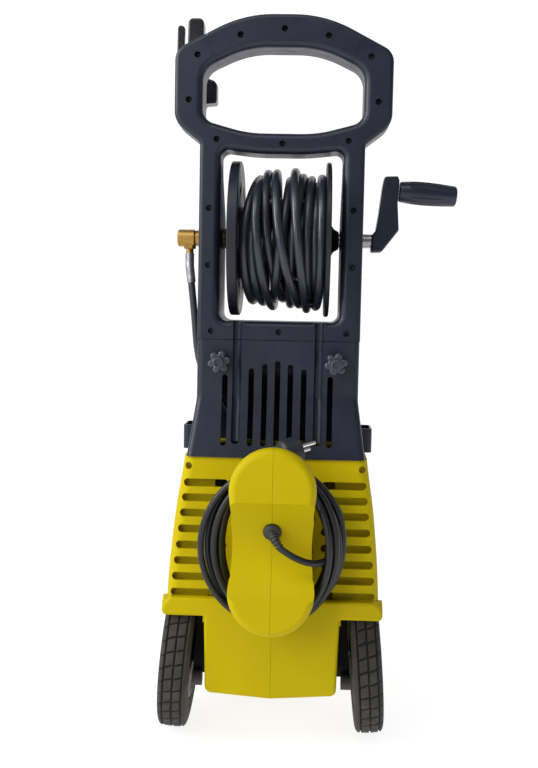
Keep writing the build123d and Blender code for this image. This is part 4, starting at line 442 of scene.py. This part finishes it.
def tyre_profile():
    """Points (along, radius, kind) across the tyre, from the inner seat over the tread to the outer seat."""
    side = [(HALF_W - 2.0, R_SEAT, 0), (HALF_W - 1.2, 68.5, 0), (HALF_W - 0.5, 71.5, 0), (HALF_W - 0.25, 75.0, 0), (HALF_W - 0.9, 76.0, 0), (HALF_W - 0.9, 77.0, 0),
            (HALF_W - 0.1, 78.0, 0), (HALF_W, 82.0, 0), (HALF_W, 86.5, 0), (HALF_W - 0.2, 90.5, 0), (HALF_W - 0.5, 93.5, 0), (HALF_W - 1.0, 96.0, 1), (HALF_W - 1.7, 98.0, 1),
            (HALF_W - 2.8, 99.8, 1), (HALF_W - 4.2, 101.0, 1)]
    out = [(-a, r, k) for a, r, k in side]
    n = 50
    w = HALF_W - 5.2
    for i in range(n + 1):
        a = -w + 2 * w * i / n
        out.append((a, R_OUT - 0.75 * (a / w) ** 2, 2))
    out += [(a, r, k) for a, r, k in reversed(side)]
    return out


def build_tyre(side, name):
    prof = tyre_profile()
    n = ROWS * PER_ROW
    c, sn = math.cos(CAMBER), math.sin(CAMBER)
    axis = Vector((side * c, 0, sn))
    upv = Vector((-side * sn, 0, c))
    back = Vector((0, -1, 0))
    hub = Vector((side * WHEEL_X, WHEEL_Y, WHEEL_Z))
    verts, dark = [], []
    for i in range(n):
        th = 2 * math.pi * i / n
        for a, r, kind in prof:
            rr, d = r, 0.0
            if kind:
                w = a * side
                # grooves running round the tyre
                for g0, gw in ((-10.8, 0.75), (0.9, 0.85), (12.0, 0.75)):
                    d = max(d, 1.0 - smooth(gw, gw + 0.5, abs(w - g0)))
                # grooves across, offset from row to row and slightly slanted
                row = 0 if w < -10.8 else 1 if w < 0.9 else 2 if w < 12.0 else 3
                ph = (th * ROWS / (2 * math.pi) + (0.1, 0.0, 0.1, 0.05)[row] - 0.02 * w + 0.03 * math.sin(th * 5 + row)) % 1.0
                g = 1.0 - smooth(0.045, 0.09, abs(ph - 0.5))
                d = max(d, g * (1.0 if row in (1, 2) else 0.8 if a > 0 else 0.12))
                rr = r - 2.2 * d * (1.0 if kind == 2 else 0.7)
            verts.append(hub + axis * a + (back * math.cos(th) + upv * math.sin(th)) * rr)
            dark.append(d)
    m = len(prof)
    faces = []
    for i in range(n):
        j = (i + 1) % n
        for k in range(m - 1):
            f = (i * m + k, i * m + k + 1, j * m + k + 1, j * m + k)
            faces.append(f if side > 0 else tuple(reversed(f)))
        f = (i * m + m - 1, i * m, j * m, j * m + m - 1)
        faces.append(f if side > 0 else tuple(reversed(f)))
    o = mesh_from(name, [P(*v) for v in verts], faces)
    bm = bmesh.new()
    bm.from_mesh(o.data)
    bmesh.ops.recalc_face_normals(bm, faces=bm.faces)
    bm.to_mesh(o.data)
    bm.free()
    # groove depth stored per vertex to paint shade into the grooves
    at = o.data.color_attributes.new("groove_painted_shade", "FLOAT_COLOR", "POINT")
    for q, d in zip(at.data, dark):
        q.color = (d, d, d, 1.0)
    return o


for side, tag in ((-1, "left"), (1, "right")):
    t = build_tyre(side, "tyre_treaded_" + tag)
    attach(t, "wheel_" + tag)
    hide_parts("tyre_" + tag)
    paint(t, "tyre")


# ---------------------------------------------------------------------------
# Cable gland: a domed nut and a tapered, ribbed strain relief
# ---------------------------------------------------------------------------
def lathe(name, origin, axis, profile, steps=48, close=False):
    """Surface of revolution; profile is (along, radius) in millimetres, origin in machine millimetres."""
    axis = Vector(axis).normalized()
    e1 = axis.orthogonal().normalized()
    e2 = axis.cross(e1)
    verts, faces = [], []
    for a, r in profile:
        for k in range(steps):
            t = 2 * math.pi * k / steps
            verts.append(Vector(origin) + axis * a + (e1 * math.cos(t) + e2 * math.sin(t)) * r)
    m = len(profile)
    for i in range(m - 1 if not close else m):
        for k in range(steps):
            a, b = i * steps + k, i * steps + (k + 1) % steps
            c, d = ((i + 1) % m) * steps + (k + 1) % steps, ((i + 1) % m) * steps + k
            faces.append((a, b, c, d))
    if not close:
        faces.append(tuple(reversed(range(steps))))
        faces.append(tuple(range((m - 1) * steps, m * steps)))
    o = mesh_from(name, [P(*v) for v in verts], faces)
    bm = bmesh.new()
    bm.from_mesh(o.data)
    bmesh.ops.recalc_face_normals(bm, faces=bm.faces)
    bm.to_mesh(o.data)
    bm.free()
    return o


SADDLE_R, SADDLE_Y, SADDLE_Z, GLAND_Z = 72.0, -156.0, 264.5, 284.0
GLAND_Y = SADDLE_Y + math.sqrt(SADDLE_R ** 2 - (GLAND_Z - SADDLE_Z) ** 2)
gn = -Vector((0, GLAND_Y - SADDLE_Y, GLAND_Z - SADDLE_Z)).normalized()
g0 = Vector((0, GLAND_Y, GLAND_Z))
dome = lathe("gland_dome", g0 - gn * 1.0, gn,
             [(0, 10.6), (2.0, 10.7), (3.4, 10.6), (4.2, 10.2), (5.0, 9.6), (5.9, 8.7), (6.6, 7.7), (7.2, 6.5), (7.6, 5.4), (7.7, 4.6)], 56)
t0, t1 = Vector(TAIL[0]), Vector(TAIL[1])
b0 = g0 + gn * 3.0
mid = g0 + gn * 11.5 + Vector((1.2, 0, -2.0))


def relief_point(u):
    """Quadratic curve from the dome to where the lead comes out."""
    tip = t0 + (t1 - t0).normalized() * 1.5
    return b0 * (1 - u) ** 2 + mid * 2 * u * (1 - u) + tip * u * u


RN, RS = 110, 28
rv, rf = [], []
for i in range(RN + 1):
    u = i / RN
    p = relief_point(u)
    d = (relief_point(min(1, u + 0.01)) - relief_point(max(0, u - 0.01))).normalized()
    e1 = d.cross(Vector((0, 0, 1))).normalized()
    e2 = d.cross(e1)
    base = 6.6 * (1 - u) + 4.55 * u
    ph = (u * 6.0) % 1.0
    ridge = smooth(0.0, 0.16, ph) * (1 - smooth(0.62, 0.78, ph))
    r = base - 1.25 * (1 - ridge) if 0.10 < u < 0.97 else base - (0.7 if u >= 0.97 else 0)
    for k in range(RS):
        t = 2 * math.pi * k / RS
        rv.append(p + (e1 * math.cos(t) + e2 * math.sin(t)) * r)
for i in range(RN):
    for k in range(RS):
        rf.append((i * RS + k, i * RS + (k + 1) % RS, (i + 1) * RS + (k + 1) % RS, (i + 1) * RS + k))
rf.append(tuple(reversed(range(RS))))
rf.append(tuple(range(RN * RS, (RN + 1) * RS)))
relief = mesh_from("gland_strain_relief", [P(*v) for v in rv], rf)
for o in (dome, relief):
    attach(o, "machine")
    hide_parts("cable_gland")
    paint(o, "gland")

# plates that close the inner side of each wheel
for side, tag in ((-1, "left"), (1, "right")):
    ax = Vector((side * math.cos(CAMBER), 0, math.sin(CAMBER)))
    o = Vector((side * WHEEL_X, WHEEL_Y, WHEEL_Z))
    disc = lathe("wheel_inner_plate_" + tag, o, ax,
                 [(-15.2, 14.4), (-16.4, 14.6), (-16.9, 16.0), (-16.9, 20.0), (-15.9, 22.0), (-15.9, 34.0), (-16.6, 35.5), (-16.6, 38.0), (-15.9, 39.5), (-15.9, 58.0),
                  (-17.0, 60.0), (-17.0, 64.5), (-16.2, 65.8), (-14.8, 65.8), (-14.4, 62.0), (-14.4, 16.0)], 72, close=True)
    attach(disc, "wheel_" + tag)
    paint(disc, "hub")


def prism(name, outline, near, far, soft=1.2):
    """Closed block: outline in (y, z), running from x = near to x = far(z)."""
    n = len(outline)
    verts = [P(near, y, z) for y, z in outline] + [P(far(z), y, z) for y, z in outline]
    faces = [tuple(range(n)), tuple(reversed(range(n, 2 * n)))] + [(k, (k + 1) % n, n + (k + 1) % n, n + k) for k in range(n)]
    o = mesh_from(name, verts, faces, smooth=False)
    bm = bmesh.new()
    bm.from_mesh(o.data)
    bmesh.ops.bevel(bm, geom=list(bm.edges), offset=soft / 1000.0, segments=3, profile=0.5, affect="EDGES")
    bmesh.ops.recalc_face_normals(bm, faces=bm.faces)
    bm.to_mesh(o.data)
    bm.free()
    return o


# axle brackets in the wheel arches, between the box and the wheels
for side, tag in ((-1, "left"), (1, "right")):
    def face_x(z):
        return side * (WHEEL_X - 20.6 * math.cos(CAMBER) - (z - WHEEL_Z) * math.tan(CAMBER))
    plate = prism("axle_bracket_" + tag, [(-6, 184), (-6, 96), (4, 80), (70, 72), (92, 84), (96, 184)], side * 78.0, face_x)
    ring = [(-2 + 9.6 * math.cos(math.radians(t)), 76 + 9.6 * math.sin(math.radians(t))) for t in range(0, 360, 15)]
    foot = prism("axle_bracket_boss_" + tag, ring, side * 87.0, lambda z: face_x(z) + side * 0.4, soft=0.6)
    for o, m in ((plate, "arch"), (foot, "boss")):
        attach(o, "machine")
        paint(o, m)

# tongues behind the two joints of the handle's grip
for side, tag in ((-1, "left"), (1, "right")):
    cx, cz, ux, uz = 86.75, 850.0, 0.3655, 0.9308
    corners = []
    for du, dn in ((-14.5, -4), (17, -4), (17, 4), (-14.5, 4)):
        corners.append((side * (cx + ux * du + uz * dn), cz + uz * du - ux * dn))
    verts = [P(x, y, z) for y in (6.0, 42.0) for x, z in corners]
    faces = [(0, 1, 2, 3), (7, 6, 5, 4)] + [(k, (k + 1) % 4, 4 + (k + 1) % 4, 4 + k) for k in range(4)]
    o = mesh_from("grip_tongue_" + tag, verts, faces, smooth=False)
    bm = bmesh.new()
    bm.from_mesh(o.data)
    bmesh.ops.bevel(bm, geom=list(bm.edges), offset=0.0006, segments=2, profile=0.5, affect="EDGES")
    bmesh.ops.recalc_face_normals(bm, faces=bm.faces)
    bm.to_mesh(o.data)
    bm.free()
    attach(o, "machine")
    # painted shade: the tongues take the near-black arch colour so the seams in the grip read as dark shaded lines
    paint(o, "arch")

for key, names in USE.items():
    for n in names:
        paint(NODES[n], key)
paint(lead, "cord")
paint(hose, "hose")

# ---------------------------------------------------------------------------
# Floor and light
# ---------------------------------------------------------------------------
sweep = []
for k in range(25):
    if k == 0:
        sweep.append((-3.5, 0.0))
    elif k < 3:
        sweep.append((1.2 + 0.4 * (k - 1), 0.0))
    else:
        a = math.radians(90 * (k - 2) / 22)
        sweep.append((1.6 + 1.6 * math.sin(a), 1.6 - 1.6 * math.cos(a)))
sweep.append((3.2, 4.5))
fv = [(x, y, z) for y, z in sweep for x in (-6.0, 6.0)]
floor = mesh_from("floor", fv, [(2 * k, 2 * k + 1, 2 * k + 3, 2 * k + 2) for k in range(len(sweep) - 1)])
fm = bpy.data.materials.new("pale_floor")
fm.use_nodes = True
fb = fm.node_tree.nodes["Principled BSDF"]
fb.inputs["Base Color"].default_value = (0.30, 0.30, 0.315, 1)
fb.inputs["Roughness"].default_value = 0.95
fb.inputs["Specular IOR Level"].default_value = 0.1
fb.inputs["Emission Color"].default_value = (1, 1, 1, 1)
fb.inputs["Emission Strength"].default_value = 0.86
floor.data.materials.append(fm)

world = bpy.data.worlds.new("studio")
scene.world = world
world.use_nodes = True
world.node_tree.nodes["Background"].inputs["Color"].default_value = (0.97, 0.985, 1.0, 1)
world.node_tree.nodes["Background"].inputs["Strength"].default_value = 0.26


def area(name, loc, aim, size, power, color=(1, 1, 1)):
    d = bpy.data.lights.new(name, "AREA")
    d.shape = "RECTANGLE"
    d.size, d.size_y = size
    d.energy = power
    d.color = color
    o = new_object(name, d)
    o.location = loc
    o.rotation_euler = (Vector(aim) - Vector(loc)).to_track_quat("-Z", "Y").to_euler()
    return o


area("key", (-1.95, -0.85, 1.6), (0, 0, 0.55), (1.0, 1.8), 52.0, (1.0, 0.995, 0.98))
area("flash", (-1.15, -2.2, 1.05), (-0.05, 0, 0.6), (0.4, 1.3), 10.0)
area("top", (-0.35, -0.95, 1.95), (0, 0, 0.6), (1.2, 0.8), 7.0)
scene.view_settings.view_transform = "Standard"
